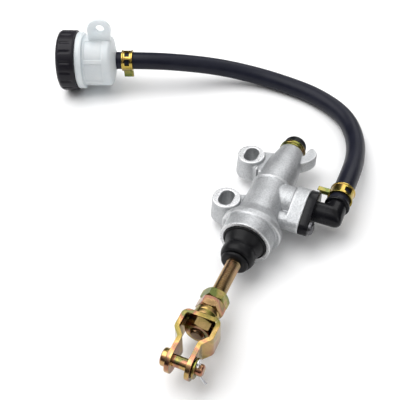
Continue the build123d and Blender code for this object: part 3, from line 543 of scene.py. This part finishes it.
hoseRun = makeHose()


# Hose clamps: a strip band with raised rims and windows, and two ears side by side
clampLook = {"inner": 6.1, "outer": 7.0, "rim": 7.35, "half": 3.8, "rimWidth": 0.8, "rimSlope": 0.2,
             "earReach": 13.2, "earStep": 0.6, "earRoot": 0.6, "earThickness": 0.9, "earGap": 1.1,
             "earEdge": 0.25, "windowSpan": 38, "windowHalf": 1.7, "fromEnd": 7.75}


def makeClamp(name, end, axis, across, earTurn, earWidth, windowTurns):
    origin = end + axis * clampLook["fromEnd"] * mm
    inner, outer, rim, half = (clampLook[key] for key in ("inner", "outer", "rim", "half"))
    rimFoot = half - clampLook["rimWidth"]
    flatEnd = rimFoot - clampLook["rimSlope"]
    outline = [(inner, -half), (rim, -half), (rim, -rimFoot), (outer, -flatEnd), (outer, flatEnd),
               (rim, rimFoot), (rim, half), (inner, half)]
    band = turnedPiece(name + "Band", outline, origin, axis, across, zincYellow, "cylinder",
                       (name,), soften=0.15)
    for windowTurn in windowTurns:
        window = bmesh.new()
        corners = []
        for radius in (inner - 0.5, rim + 1):
            for along, side in ((-1, -1), (-1, 1), (1, 1), (1, -1)):
                angle = windowTurn + side * radians(clampLook["windowSpan"] / 2)
                spot = place(origin, axis, across, radius, along * clampLook["windowHalf"], angle)
                corners.append(window.verts.new(spot))
        bmesh.ops.convex_hull(window, input=corners)
        cutPiece(band, window)
    out = place(Vector(), axis, across, 1, 0, earTurn).normalized()
    flat = axis.cross(out)
    turn = Matrix((out, flat, axis)).transposed().to_4x4()
    ears = bmesh.new()
    ears.from_mesh(band.data)
    faceCount = len(ears.faces)
    for side in (-1, 1):
        offset = side * (clampLook["earGap"] + clampLook["earThickness"]) / 2
        reach = clampLook["earReach"] + side * clampLook["earStep"]
        middle = origin + (out * (outer + reach) / 2 + flat * offset) * mm
        length = reach - outer + clampLook["earRoot"]
        size = Matrix.Diagonal((*(Vector((length, clampLook["earThickness"], earWidth)) * mm), 1))
        made = bmesh.ops.create_cube(ears, size=1, matrix=Matrix.Translation(middle) @ turn @ size)
        edges = {edge for vert in made["verts"] for edge in vert.link_edges}
        bmesh.ops.bevel(ears, geom=list(edges), offset=clampLook["earEdge"] * mm, segments=2,
                        profile=0.5, affect="EDGES", material=-1)
    for face in list(ears.faces)[faceCount:]:
        face.material_index = 1
        face.smooth = False
    ears.to_mesh(band.data)
    ears.free()
    band.data.materials.append(zincOlive)
    return band


hoseStart = Vector(hoseRoute[0]) * mm
cylinderClamp = makeClamp("hose_clamp_cylinder", hoseStart, boreAxis, xAxis, radians(180), 3.2,
                          (radians(-60), radians(60)))
reservoirClamp = makeClamp("hose_clamp_reservoir", reservoirEnd, reservoirAxis, reservoirSide,
                           radians(90), 6.6, (radians(-75), radians(-20)))
print("hose and clamps made")


# Casting: the frame's shape with a rim and two small ribs, its corners eased as in a mould
castLook = {"voxel": 0.42, "ease": 0.5, "passes": 3, "crumb": 2000, "maskPasses": 5,
            "stepRim": [(11.0, -1.8), (12.6, -1.6), (12.6, 0.0), (11.0, 0.2)],
            "ribs": [(6.6, 11.6), (9.0, 10.6)], "ribHeight": 7.2, "ribSize": (1.2, 3.2, 10.6)}


def dropCrumbs(mesh):
    # the remesh leaves a few loose specks, so only parts with many vertices stay
    bm = bmesh.new()
    bm.from_mesh(mesh)
    waiting = set(bm.verts)
    crumbs = []
    while waiting:
        part = []
        reached = [waiting.pop()]
        while reached:
            vert = reached.pop()
            part.append(vert)
            for edge in vert.link_edges:
                other = edge.other_vert(vert)
                if other in waiting:
                    waiting.remove(other)
                    reached.append(other)
        if len(part) < castLook["crumb"]:
            crumbs += part
    print("casting crumbs", len(crumbs), "of", len(bm.verts))
    bmesh.ops.delete(bm, geom=crumbs, context="VERTS")
    bm.to_mesh(mesh)
    bm.free()


def markEdges(mesh):
    # how far each point stands proud of its neighbours, smoothed, kept to paint the casting's edges
    # lighter (wear and a painted highlight) and its hollows darker (a painted shade)
    count = len(mesh.vertices)
    spots = np.empty((count, 3))
    mesh.vertices.foreach_get("co", spots.ravel())
    normals = np.empty((count, 3))
    mesh.vertices.foreach_get("normal", normals.ravel())
    ends = np.empty((len(mesh.edges), 2), dtype=np.int32)
    mesh.edges.foreach_get("vertices", ends.ravel())
    first, second = ends.T
    links = np.bincount(first, minlength=count) + np.bincount(second, minlength=count)

    def average(values):
        total = np.bincount(first, values[second], count) + np.bincount(second, values[first], count)
        return total / np.maximum(links, 1)

    middle = np.stack([average(spots[:, axis]) for axis in range(3)], axis=1)
    proud = ((spots - middle) * normals).sum(axis=1) / (castLook["voxel"] * mm)
    for step in range(castLook["maskPasses"]):
        proud = 0.5 * proud + 0.5 * average(proud)
    attribute = mesh.attributes.new("edgeMask", "FLOAT", "POINT")
    attribute.data.foreach_set("value", proud.astype(np.float32))
    print("edge mask", np.percentile(proud, [1, 50, 90, 99]).round(3))


def makeCasting():
    bm = bmesh.new()
    bm.from_mesh(nodes["cylinder_body"].data)
    bmesh.ops.remove_doubles(bm, verts=bm.verts, dist=0.005 * mm)
    lathe(bm, castLook["stepRim"], bore, boreAxis, up)
    for ribX, ribY in castLook["ribs"]:
        addBox(bm, (ribX, ribY, castLook["ribHeight"]), castLook["ribSize"])
    casting = addPiece("casting", bm, castAluminium, "cylinder", ("cylinder_body",))
    addModifier(casting, "REMESH", mode="VOXEL", voxel_size=castLook["voxel"] * mm)
    addModifier(casting, "SMOOTH", factor=castLook["ease"], iterations=castLook["passes"])
    bakeModifiers(casting)
    dropCrumbs(casting.data)
    markEdges(casting.data)
    casting.data.shade_smooth()


makeCasting()
print("casting made")

# Dust boot: a rim in the mouth, a waist and a bulb, and a thin lip that stays on the rod
bootLook = {
    "bellows": [(12.3, -36.7), (12.3, -45.2), (11.9, -45.7), (11.3, -45.3), (10.9, -46.4), (9.5, -49.2),
                (9.0, -50.6), (9.1, -51.8), (9.6, -53.4), (9.6, -55.6), (8.9, -57.6), (7.9, -58.5),
                (6.2, -58.5), (6.4, -57.4), (7.4, -56.0), (7.6, -55.0), (7.6, -52.8), (7.2, -50.5),
                (7.6, -48.0), (9.6, -45.4), (10.3, -40.0), (10.3, -36.7)],
    "lip": [(4.05, -59.2), (7.6, -59.2), (7.7, -59.7), (7.3, -60.6), (6.4, -61.1), (4.05, -61.0)],
    "corner": 0.7, "foldFrom": -45.5, "foldTo": -57.5}


def makeBoot():
    boot = turnedPiece("bootBellows", bootLook["bellows"], bore, boreAxis, up, bootRubber,
                       None, ("dust_boot",), soften=bootLook["corner"])
    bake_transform(boot)
    turnedPiece("bootLip", bootLook["lip"], bore, boreAxis, up, bootRubber, "rod")


makeBoot()
print("boot made")


# Pushrod: a smooth neck and ball, and a helical thread down to the clevis
rodLook = {
    "core": [(0, -25.1), (2.3, -25.7), (3.9, -27.4), (4.5, -29.6), (3.9, -31.9), (3.0, -33.0),
             (3.0, -49.6), (3.9, -50.6), (3.9, -57.0), (3.42, -57.6), (3.42, -109.0), (2.9, -109.8),
             (0, -109.8)],
    "crest": 3.96, "crestHalf": 0.09, "foot": 3.32, "footShare": 0.46, "pitch": 1.25,
    "start": -57.0, "end": -109.4, "turnSteps": 24}


def makeRod():
    bm = bmesh.new()
    core = softOutline(rodLook["core"], 0.3, closed=False)
    lathe(bm, core, bore, boreAxis, up, steps=64, closed=False)
    pitch, crest, foot, half = (rodLook[key] for key in ("pitch", "crest", "foot", "crestHalf"))
    turns = (rodLook["start"] - rodLook["end"]) / pitch - 1
    footHalf = pitch * rodLook["footShare"]
    ridge = [(foot, footHalf), (crest, half), (crest, -half), (foot, -footHalf)]
    verts = [bm.verts.new(place(bore, boreAxis, up, r, rodLook["end"] + pitch / 2 + a))
             for r, a in ridge]
    face = bm.faces.new(verts)
    steps = int(turns * rodLook["turnSteps"])
    bmesh.ops.spin(bm, geom=[face, *face.edges, *verts], cent=bore, axis=boreAxis,
                   dvec=boreAxis * turns * pitch * mm / steps, angle=turns * 2 * pi,
                   steps=steps, use_merge=False, use_duplicate=False)
    addPiece("pushrodThreaded", bm, zincThread, "rod", ("pushrod",), 30)


makeRod()


# Nuts: six sides with a chamfer turned on both faces, and a plain hole with a flared mouth on each face
nutLook = {"flats": 13.0, "faceInset": 0.15, "chamfer": 30, "sides": 72, "holeMouth": 4.55,
           "hole": 4.03, "holeDepth": 0.5}


def makeNut(name, start, length, turn, material, node):
    bm = bmesh.new()
    half = nutLook["flats"] / 2
    faceRadius = half - nutLook["faceInset"]
    sides = nutLook["sides"]
    angles = [2 * pi * step / sides for step in range(sides)]

    def ring(radii, heights):
        return [bm.verts.new(place(bore, boreAxis, up, r, a, angle + radians(turn)))
                for r, a, angle in zip(radii, heights, angles)]

    def circle(radius, height):
        return ring([radius] * sides, [height] * sides)

    radii = [half / cos((angle + pi / 6) % (pi / 3) - pi / 6) for angle in angles]
    drops = [(radius - faceRadius) * tan(radians(nutLook["chamfer"])) for radius in radii]
    back, front, deep = start - length, start, nutLook["holeDepth"]
    loops = [circle(nutLook["hole"], back + deep), circle(nutLook["holeMouth"], back),
             circle(faceRadius, back), ring(radii, [back + drop for drop in drops]),
             ring(radii, [front - drop for drop in drops]), circle(faceRadius, front),
             circle(nutLook["holeMouth"], front), circle(nutLook["hole"], front - deep)]
    for one, other in zip(loops, loops[1:] + loops[:1]):
        for i in range(sides):
            j = (i + 1) % sides
            bm.faces.new((one[i], one[j], other[j], other[i]))
    addPiece(name, bm, material, "nuts", (node,), 30)


makeNut("lockNutRear", -83.5, 5.3, 12, zincOlive, "lock_nut")
makeNut("lockNutFront", -88.9, 5.7, 0, zincPink, "jam_nut")
makeNut("clevisNut", -102.7, 5.7, 18, zincGold, "clevis_nut")

# Split spring washer and the plain spacer behind the clevis
washerLook = {"spring": [(4.2, -97.2), (6.4, -97.2), (6.4, -94.7), (4.2, -94.7)],
              "spacer": [(4.1, -100.1), (6.8, -100.1), (6.8, -97.3), (4.1, -97.3)],
              "splitAt": (5.2, -95.95), "splitTurn": 70, "splitLean": 20, "splitSize": (0.8, 4, 4)}


def makeRodWashers():
    washer = turnedPiece("springWasherTurned", washerLook["spring"], bore, boreAxis, up, zincGold,
                         "nuts", ("spring_washer",), 72)
    cut = bmesh.new()
    middle = place(bore, boreAxis, up, *washerLook["splitAt"], radians(washerLook["splitTurn"]))
    lean = Matrix.Rotation(radians(washerLook["splitLean"]), 4, "Z")
    size = Matrix.Diagonal((*(Vector(washerLook["splitSize"]) * mm), 1))
    bmesh.ops.create_cube(cut, size=1, matrix=Matrix.Translation(middle) @ lean @ size)
    cutPiece(washer, cut)
    turnedPiece("spacerTurned", washerLook["spacer"], bore, boreAxis, up, zincOlive,
                "nuts", ("rod_spacer",), 72)


makeRodWashers()
print("rod and nuts made")


# Clevis: the frame's folded strip with eased edges
clevisLook = {"edge": 0.45, "segments": 3, "sharp": 32}


def makeClevis():
    bm = bmesh.new()
    bm.from_mesh(nodes["clevis"].data)
    bmesh.ops.remove_doubles(bm, verts=bm.verts, dist=0.005 * mm)
    bmesh.ops.dissolve_limit(bm, angle_limit=radians(1), verts=bm.verts, edges=bm.edges)
    strip = addPiece("clevisStrip", bm, zincGold, "clevis", ("clevis",),
                     clevisLook["sharp"])
    addModifier(strip, "BEVEL", width=clevisLook["edge"] * mm, segments=clevisLook["segments"],
                limit_method="ANGLE", angle_limit=radians(clevisLook["sharp"]), use_clamp_overlap=True)
    addModifier(strip, "WEIGHTED_NORMAL", keep_sharp=False)


makeClevis()

# Clevis pin with its washer, and a cotter of round wire
pinLook = {"centre": (21, -126, 10),
           "pin": [(0, -9.9), (4.1, -9.9), (4.6, -9.4), (4.6, -6.9), (3.0, -6.9), (3.0, 10.7),
                   (2.3, 11.4), (0, 11.4)],
           "washer": [(3.1, 6.9), (5.2, 6.9), (5.2, 7.9), (3.1, 7.9)],
           "wire": 0.6,
           "cotter": [(34.2, -127.6, 2.2), (30.0, -126.6, 5.6), (30.0, -126.6, 10.0),
                      (30.0, -126.6, 13.6), (30.0, -127.7, 14.8), (30.0, -127.8, 16.4),
                      (30.0, -126.0, 17.4), (30.0, -124.2, 16.4), (30.0, -124.3, 14.8),
                      (30.0, -125.4, 13.6), (30.0, -125.4, 10.0), (30.0, -125.4, 5.6),
                      (31.2, -122.8, 3.6)]}


def makePin():
    centre = Vector(pinLook["centre"]) * mm
    turnedPiece("clevisPinTurned", pinLook["pin"], centre, xAxis, up, zincGold, "pin",
                ("clevis_pin",), 64, closed=False)
    turnedPiece("pinWasherTurned", pinLook["washer"], centre, xAxis, up, zincOlive, "pin",
                ("pin_washer",), 64, soften=0.2)


def makeCotter():
    data = bpy.data.curves.new("cotterWire", "CURVE")
    data.dimensions = "3D"
    data.bevel_depth = pinLook["wire"] * mm
    data.bevel_resolution = 5
    data.resolution_u = 6
    data.use_fill_caps = True
    spline = data.splines.new("NURBS")
    spline.points.add(len(pinLook["cotter"]) - 1)
    for point, spot in zip(spline.points, pinLook["cotter"]):
        point.co = (*(Vector(spot) * mm), 1)
    spline.order_u = 3
    spline.use_endpoint_u = True
    data.materials.append(brightSteel)
    wire = bpy.data.objects.new("cotterWire", data)
    scene.collection.objects.link(wire)
    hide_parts("cotter_pin")
    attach(wire, "pin")


makePin()
makeCotter()
print("clevis and pin made")


# Elbow: a lobed plate, and a tube that turns a tight corner
elbowFacts = {"face": 44.5, "plate": 5.0, "corner": 59.4, "tube": 6.0, "inlet": -7.0, "height": 10,
              "lobe": 5.0, "flange": 11.3, "pitch": 13.7, "edge": 0.45, "ease": 2.1, "easeLean": 0.25,
              "turnSteps": 6, "sides": 64,
              "collar": [(6.0, 0.6), (7.1, 0.9), (7.3, 1.3), (7.3, 2.4), (7.1, 2.8), (6.2, 2.9)]}


def makeElbow():
    bm = bmesh.new()
    ringVerts = []
    for centreY, radius in ((elbowFacts["inlet"], elbowFacts["flange"]),
                            (elbowFacts["inlet"] - elbowFacts["pitch"], elbowFacts["lobe"])):
        centre = Vector((elbowFacts["face"], centreY, elbowFacts["height"])) * mm
        matrix = Matrix.Translation(centre) @ Matrix.Rotation(pi / 2, 4, "Y")
        ringVerts += bmesh.ops.create_circle(bm, segments=96, radius=radius * mm, matrix=matrix)["verts"]
    hull = bmesh.ops.convex_hull(bm, input=ringVerts, use_existing_faces=False)
    bmesh.ops.delete(bm, geom=[v for v in hull["geom_interior"] if isinstance(v, bmesh.types.BMVert)],
                     context="VERTS")
    bmesh.ops.dissolve_limit(bm, angle_limit=radians(1), verts=bm.verts, edges=bm.edges)
    flat = max(bm.faces, key=lambda f: f.calc_area())
    for other in [f for f in bm.faces if f is not flat]:
        bm.faces.remove(other)
    raised = bmesh.ops.extrude_face_region(bm, geom=[flat])
    moved = [v for v in raised["geom"] if isinstance(v, bmesh.types.BMVert)]
    bmesh.ops.translate(bm, vec=(elbowFacts["plate"] * mm, 0, 0), verts=moved)
    rims = [e for e in bm.edges if abs(e.verts[0].co.x - e.verts[1].co.x) < 0.01 * mm]
    bmesh.ops.bevel(bm, geom=rims, offset=elbowFacts["edge"] * mm, segments=3, profile=0.5,
                    affect="EDGES", material=-1)
    # the tube: straight from the plate, round the corner, and out to a collar at the hose
    rings = []
    sides, turnSteps, height = (elbowFacts[key] for key in ("sides", "turnSteps", "height"))
    shapes = [("plate", 0)] + [("turn", step / turnSteps) for step in range(turnSteps + 1)]
    shapes += [("end", collar) for collar in elbowFacts["collar"]]
    for kind, value in shapes:
        ring = []
        for step in range(sides):
            angle = 2 * pi * step / sides
            across = elbowFacts["tube"] * cos(angle)
            lift = elbowFacts["tube"] * sin(angle)
            ease = elbowFacts["ease"] - elbowFacts["easeLean"] * across
            corner = Vector((elbowFacts["corner"] - across, elbowFacts["inlet"] + across, height + lift))
            if kind == "plate":
                spot = Vector((elbowFacts["face"] + 1, corner.y, corner.z))
            elif kind == "turn":
                before = corner - Vector((ease, 0, 0))
                after = corner + Vector((0, ease, 0))
                spot = before.lerp(corner, value).lerp(corner.lerp(after, value), value)
            else:
                scale = value[0] / elbowFacts["tube"]
                spot = Vector((elbowFacts["corner"] - across * scale, value[1], height + lift * scale))
            ring.append(bm.verts.new(spot * mm))
        rings.append(ring)
    for one, other in zip(rings, rings[1:]):
        for i in range(sides):
            j = (i + 1) % sides
            bm.faces.new((one[i], one[j], other[j], other[i]))
    bm.faces.new(rings[0])
    bm.faces.new(rings[-1])
    addPiece("elbowMoulding", bm, blackPlastic, "cylinder", ("inlet_elbow",))


makeElbow()

# Cross-recess screw
screwLook = {"seat": (49.5, -20.7, 10), "recessAt": (51.9, -20.7, 10),
             "recess": [(2.4, 4.2, 0.95), (2.4, 0.95, 4.2)],
             "outline": [(0, -6), (2.0, -6), (2.0, 0), (3.9, 0), (3.9, 1.6), (3.1, 2.6), (1.6, 3.0),
                         (0, 3.0)]}


def makeScrew():
    screw = turnedPiece("plateScrew", screwLook["outline"], Vector(screwLook["seat"]) * mm, xAxis, up,
                        darkSteel, "cylinder", ("elbow_screw",), 48, closed=False)
    for size in screwLook["recess"]:
        arm = bmesh.new()
        addBox(arm, screwLook["recessAt"], size)
        cutPiece(screw, arm)


makeScrew()
print("elbow and screw made")

# Outlet: sealing washer, bolt flange and rubber cap
outletLook = {"washer": [(5.1, 34.0), (7.9, 34.0), (7.9, 35.5), (5.1, 35.5)],
              "bolt": [(0, 30.0), (4.9, 30.0), (4.9, 35.5), (8.2, 35.5), (8.2, 37.9), (5.4, 37.9),
                       (5.4, 42.2), (0, 42.2)],
              "cap": [(5.95, 38.0), (7.6, 38.0), (7.6, 39.2), (7.1, 39.8), (7.1, 42.2), (6.2, 44.0),
                      (4.4, 44.6), (0, 44.6), (0, 43.0), (5.95, 43.0)]}


def makeOutlet():
    turnedPiece("sealWasherTurned", outletLook["washer"], bore, boreAxis, up, zincOlive,
                "cylinder", ("crush_washer",))
    turnedPiece("banjoBoltTurned", outletLook["bolt"], bore, boreAxis, up, zincOlive,
                "cylinder", ("banjo_bolt",), closed=False, soften=0.6)
    turnedPiece("outletCapMoulding", outletLook["cap"], bore, boreAxis, up, bootRubber,
                "outlet_cover", ("dust_cap",), soften=0.7)


makeOutlet()
print("outlet made")

# Reservoir bottle, with two panels sunk in its side and a drilled tab on top
bottleLook = {
    "outline": [(2.2, 12.0), (3.35, 12.0), (3.35, -0.1), (6.4, -0.1), (7.2, -0.4), (16.0, -2.6),
                (17.5, -4.1), (17.5, -8.0), (17.5, -11.0), (17.5, -14.0), (17.5, -17.0),
                (17.5, -20.0), (17.5, -22.2), (19.7, -22.2), (19.7, -26.7), (18.4, -26.7),
                (18.4, -35.7), (15.5, -35.7), (15.5, -4.6), (2.2, -1.5)],
    "panels": [(-21.0, -8.5, 32, 82), (-21.0, -8.5, -24, 26)],  # from and to along, from and to round
    "wall": 17.2, "panelRim": 0.35, "sink": -0.45}


def makeBottle():
    bm = bmesh.new()
    lathe(bm, softOutline(bottleLook["outline"], 0.8, steps=3), reservoirEnd, reservoirAxis,
          reservoirSide)
    bmesh.ops.recalc_face_normals(bm, faces=bm.faces)
    panels = {bounds: [] for bounds in bottleLook["panels"]}
    for face in bm.faces:
        offset = face.calc_center_median() - reservoirEnd
        along = offset.dot(reservoirAxis) / mm
        radius = (offset - reservoirAxis * offset.dot(reservoirAxis)).length / mm
        angle = degrees(atan2(offset.dot(up), offset.dot(reservoirSide)))
        for start, end, low, high in panels:
            if radius > bottleLook["wall"] and start < along < end and low < angle < high:
                panels[start, end, low, high].append(face)
    for faces in panels.values():
        bmesh.ops.inset_region(bm, faces=faces, thickness=bottleLook["panelRim"] * mm,
                               depth=bottleLook["sink"] * mm, use_even_offset=True)
    addPiece("bottleMoulding", bm, milkyPlastic, "cylinder", ("reservoir_bottle",), 50)


makeBottle()

tabFacts = {"centre": -9.8, "height": 24.8, "radius": 8.2, "root": 14.0, "rootEnd": -3.6,
            "thickness": 3.0, "edge": 0.5, "hole": 2.75, "holeAt": (-9.0, 26.3)}


def makeTab():
    bm = bmesh.new()
    centre, height, radius = (tabFacts[key] for key in ("centre", "height", "radius"))
    outline = [(centre - radius, tabFacts["root"])]
    for step in range(33):
        angle = pi - pi * step / 32
        outline.append((centre + radius * cos(angle), height + radius * sin(angle)))
    outline.append((tabFacts["rootEnd"], tabFacts["root"]))
    nearSide = reservoirSide * tabFacts["thickness"] / 2
    verts = [bm.verts.new(reservoirEnd + (reservoirAxis * a + up * h - nearSide) * mm)
             for a, h in outline]
    face = bm.faces.new(verts)
    raised = bmesh.ops.extrude_face_region(bm, geom=[face])
    moved = [v for v in raised["geom"] if isinstance(v, bmesh.types.BMVert)]
    bmesh.ops.translate(bm, vec=reservoirSide * tabFacts["thickness"] * mm, verts=moved)
    tab = addPiece("bottleTab", bm, milkyPlastic, "cylinder")
    hole = bmesh.new()
    holeAlong, holeHeight = tabFacts["holeAt"]
    lathe(hole, [(0, -5), (tabFacts["hole"], -5), (tabFacts["hole"], 5), (0, 5)],
          reservoirEnd + (reservoirAxis * holeAlong + up * holeHeight) * mm, reservoirSide, up, 48,
          closed=False)
    cutPiece(tab, hole)
    addModifier(tab, "BEVEL", width=tabFacts["edge"] * mm, segments=3, limit_method="ANGLE",
                angle_limit=radians(50))


makeTab()

# Screw cap: ribs round its grip, a smooth rim and a rounded end
capLook = {"radius": 20.9, "ribs": 18, "ribDepth": 0.65, "gripStart": -37.2, "gripEnd": -29.8,
           "gripRings": (-36.8, -36.0, -34.0, -32.0, -30.4, -29.4, -28.6, -27.4),
           "end": [(0, -40.6), (12, -40.5), (18.0, -39.9), (20.0, -39.0), (20.8, -37.6)],
           "rim": [(20.5, -27.0), (18.7, -27.0), (18.7, -38.2), (0, -38.2)]}


def makeCap():
    bm = bmesh.new()
    grip = [(capLook["radius"], along) for along in capLook["gripRings"]]
    lathe(bm, capLook["end"] + grip + capLook["rim"], reservoirEnd, reservoirAxis, reservoirSide,
          steps=240, closed=False)
    wallStart = (capLook["radius"] - 0.3) * mm
    for vert in bm.verts:
        offset = vert.co - reservoirEnd
        along = offset.dot(reservoirAxis) / mm
        radial = offset - reservoirAxis * offset.dot(reservoirAxis)
        if radial.length < wallStart or not capLook["gripStart"] < along < capLook["gripEnd"]:
            continue
        angle = acos(max(-1, min(1, radial.normalized().dot(up))))
        if radial.dot(reservoirSide) < 0:
            angle = 2 * pi - angle
        wave = cos(angle * capLook["ribs"])
        depth = capLook["ribDepth"] * min(1, max(0, 2.4 * wave - 1.2))
        vert.co -= radial.normalized() * depth * mm
    addPiece("capMoulding", bm, capPlastic, "cap", ("reservoir_cap",), 45)


makeCap()
print("reservoir made")


def makeSpring():
    bm = bmesh.new()
    bm.from_mesh(nodes["return_spring"].data)
    spring = addPiece("returnCoil", bm, brightSteel, "cylinder", ("return_spring",))
    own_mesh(spring)


makeSpring()

# Inner pieces keep their frame shape
innerFinish = {
    "piston": pistonAlloy, "primary_cup": sealRubber, "secondary_cup": sealRubber,
    "spring_seat": brightSteel, "stop_washer": brightSteel, "circlip": darkSteel,
    "elbow_o_ring": sealRubber, "diaphragm": sealRubber, "diaphragm_plate": capPlastic,
}
for nodeName, finish in innerFinish.items():
    nodes[nodeName].data.materials.clear()
    nodes[nodeName].data.materials.append(finish)


# Floor and light
studioLook = {
    "floorHeight": -6.1, "floorSize": 3, "floorColour": (0.96, 0.96, 0.96),
    "lamps": {"keyLight": ((-0.45, -0.05, 0.75), 0.9, 7.5),  # where it stands, its size and its power
              "fillLight": ((0.75, -0.35, 0.45), 0.5, 1.2),
              "backLight": ((0.1, 0.8, 0.6), 0.6, 2.6)},
    "sky": [(0.0, (0.03, 0.03, 0.035)), (0.42, (0.06, 0.06, 0.065)), (0.66, (0.32, 0.32, 0.33)),
            (0.90, (1.0, 1.0, 1.0))]}


def makeFloor():
    bm = bmesh.new()
    bmesh.ops.create_grid(bm, x_segments=1, y_segments=1, size=studioLook["floorSize"])
    mesh = bpy.data.meshes.new("floor")
    bm.to_mesh(mesh)
    bm.free()
    material = newMaterial("paleFloor", Roughness=0.7, Base_Color=studioLook["floorColour"])[0]
    mesh.materials.append(material)
    mesh.transform(Matrix.Translation((0, 0, studioLook["floorHeight"] * mm)))
    floor = bpy.data.objects.new("floor", mesh)
    scene.collection.objects.link(floor)


def makeLight(name, spot, size, power):
    data = bpy.data.lights.new(name, "AREA")
    data.shape = "SQUARE"
    data.size = size
    data.energy = power
    lamp = bpy.data.objects.new(name, data)
    lamp.location = spot
    lamp.rotation_euler = (-Vector(spot)).to_track_quat("-Z", "Y").to_euler()
    scene.collection.objects.link(lamp)


makeFloor()
for lampName, (lampSpot, lampSize, lampPower) in studioLook["lamps"].items():
    makeLight(lampName, lampSpot, lampSize, lampPower)


def makeWorld():
    # bright overhead and darker at the sides, so that metal has something to reflect
    world = bpy.data.worlds.new("studio")
    world.use_nodes = True
    tree = world.node_tree
    background = tree.nodes["Background"]
    coords = addNode(tree, "ShaderNodeTexCoord")
    split = addNode(tree, "ShaderNodeSeparateXYZ")
    tree.links.new(coords.outputs["Generated"], split.inputs["Vector"])
    sky = addRamp(tree, split.outputs["Z"], studioLook["sky"])
    tree.links.new(sky, background.inputs["Color"])
    background.inputs["Strength"].default_value = 1.0
    scene.world = world


makeWorld()
scene.view_settings.view_transform = "Standard"
print("floor and light made")
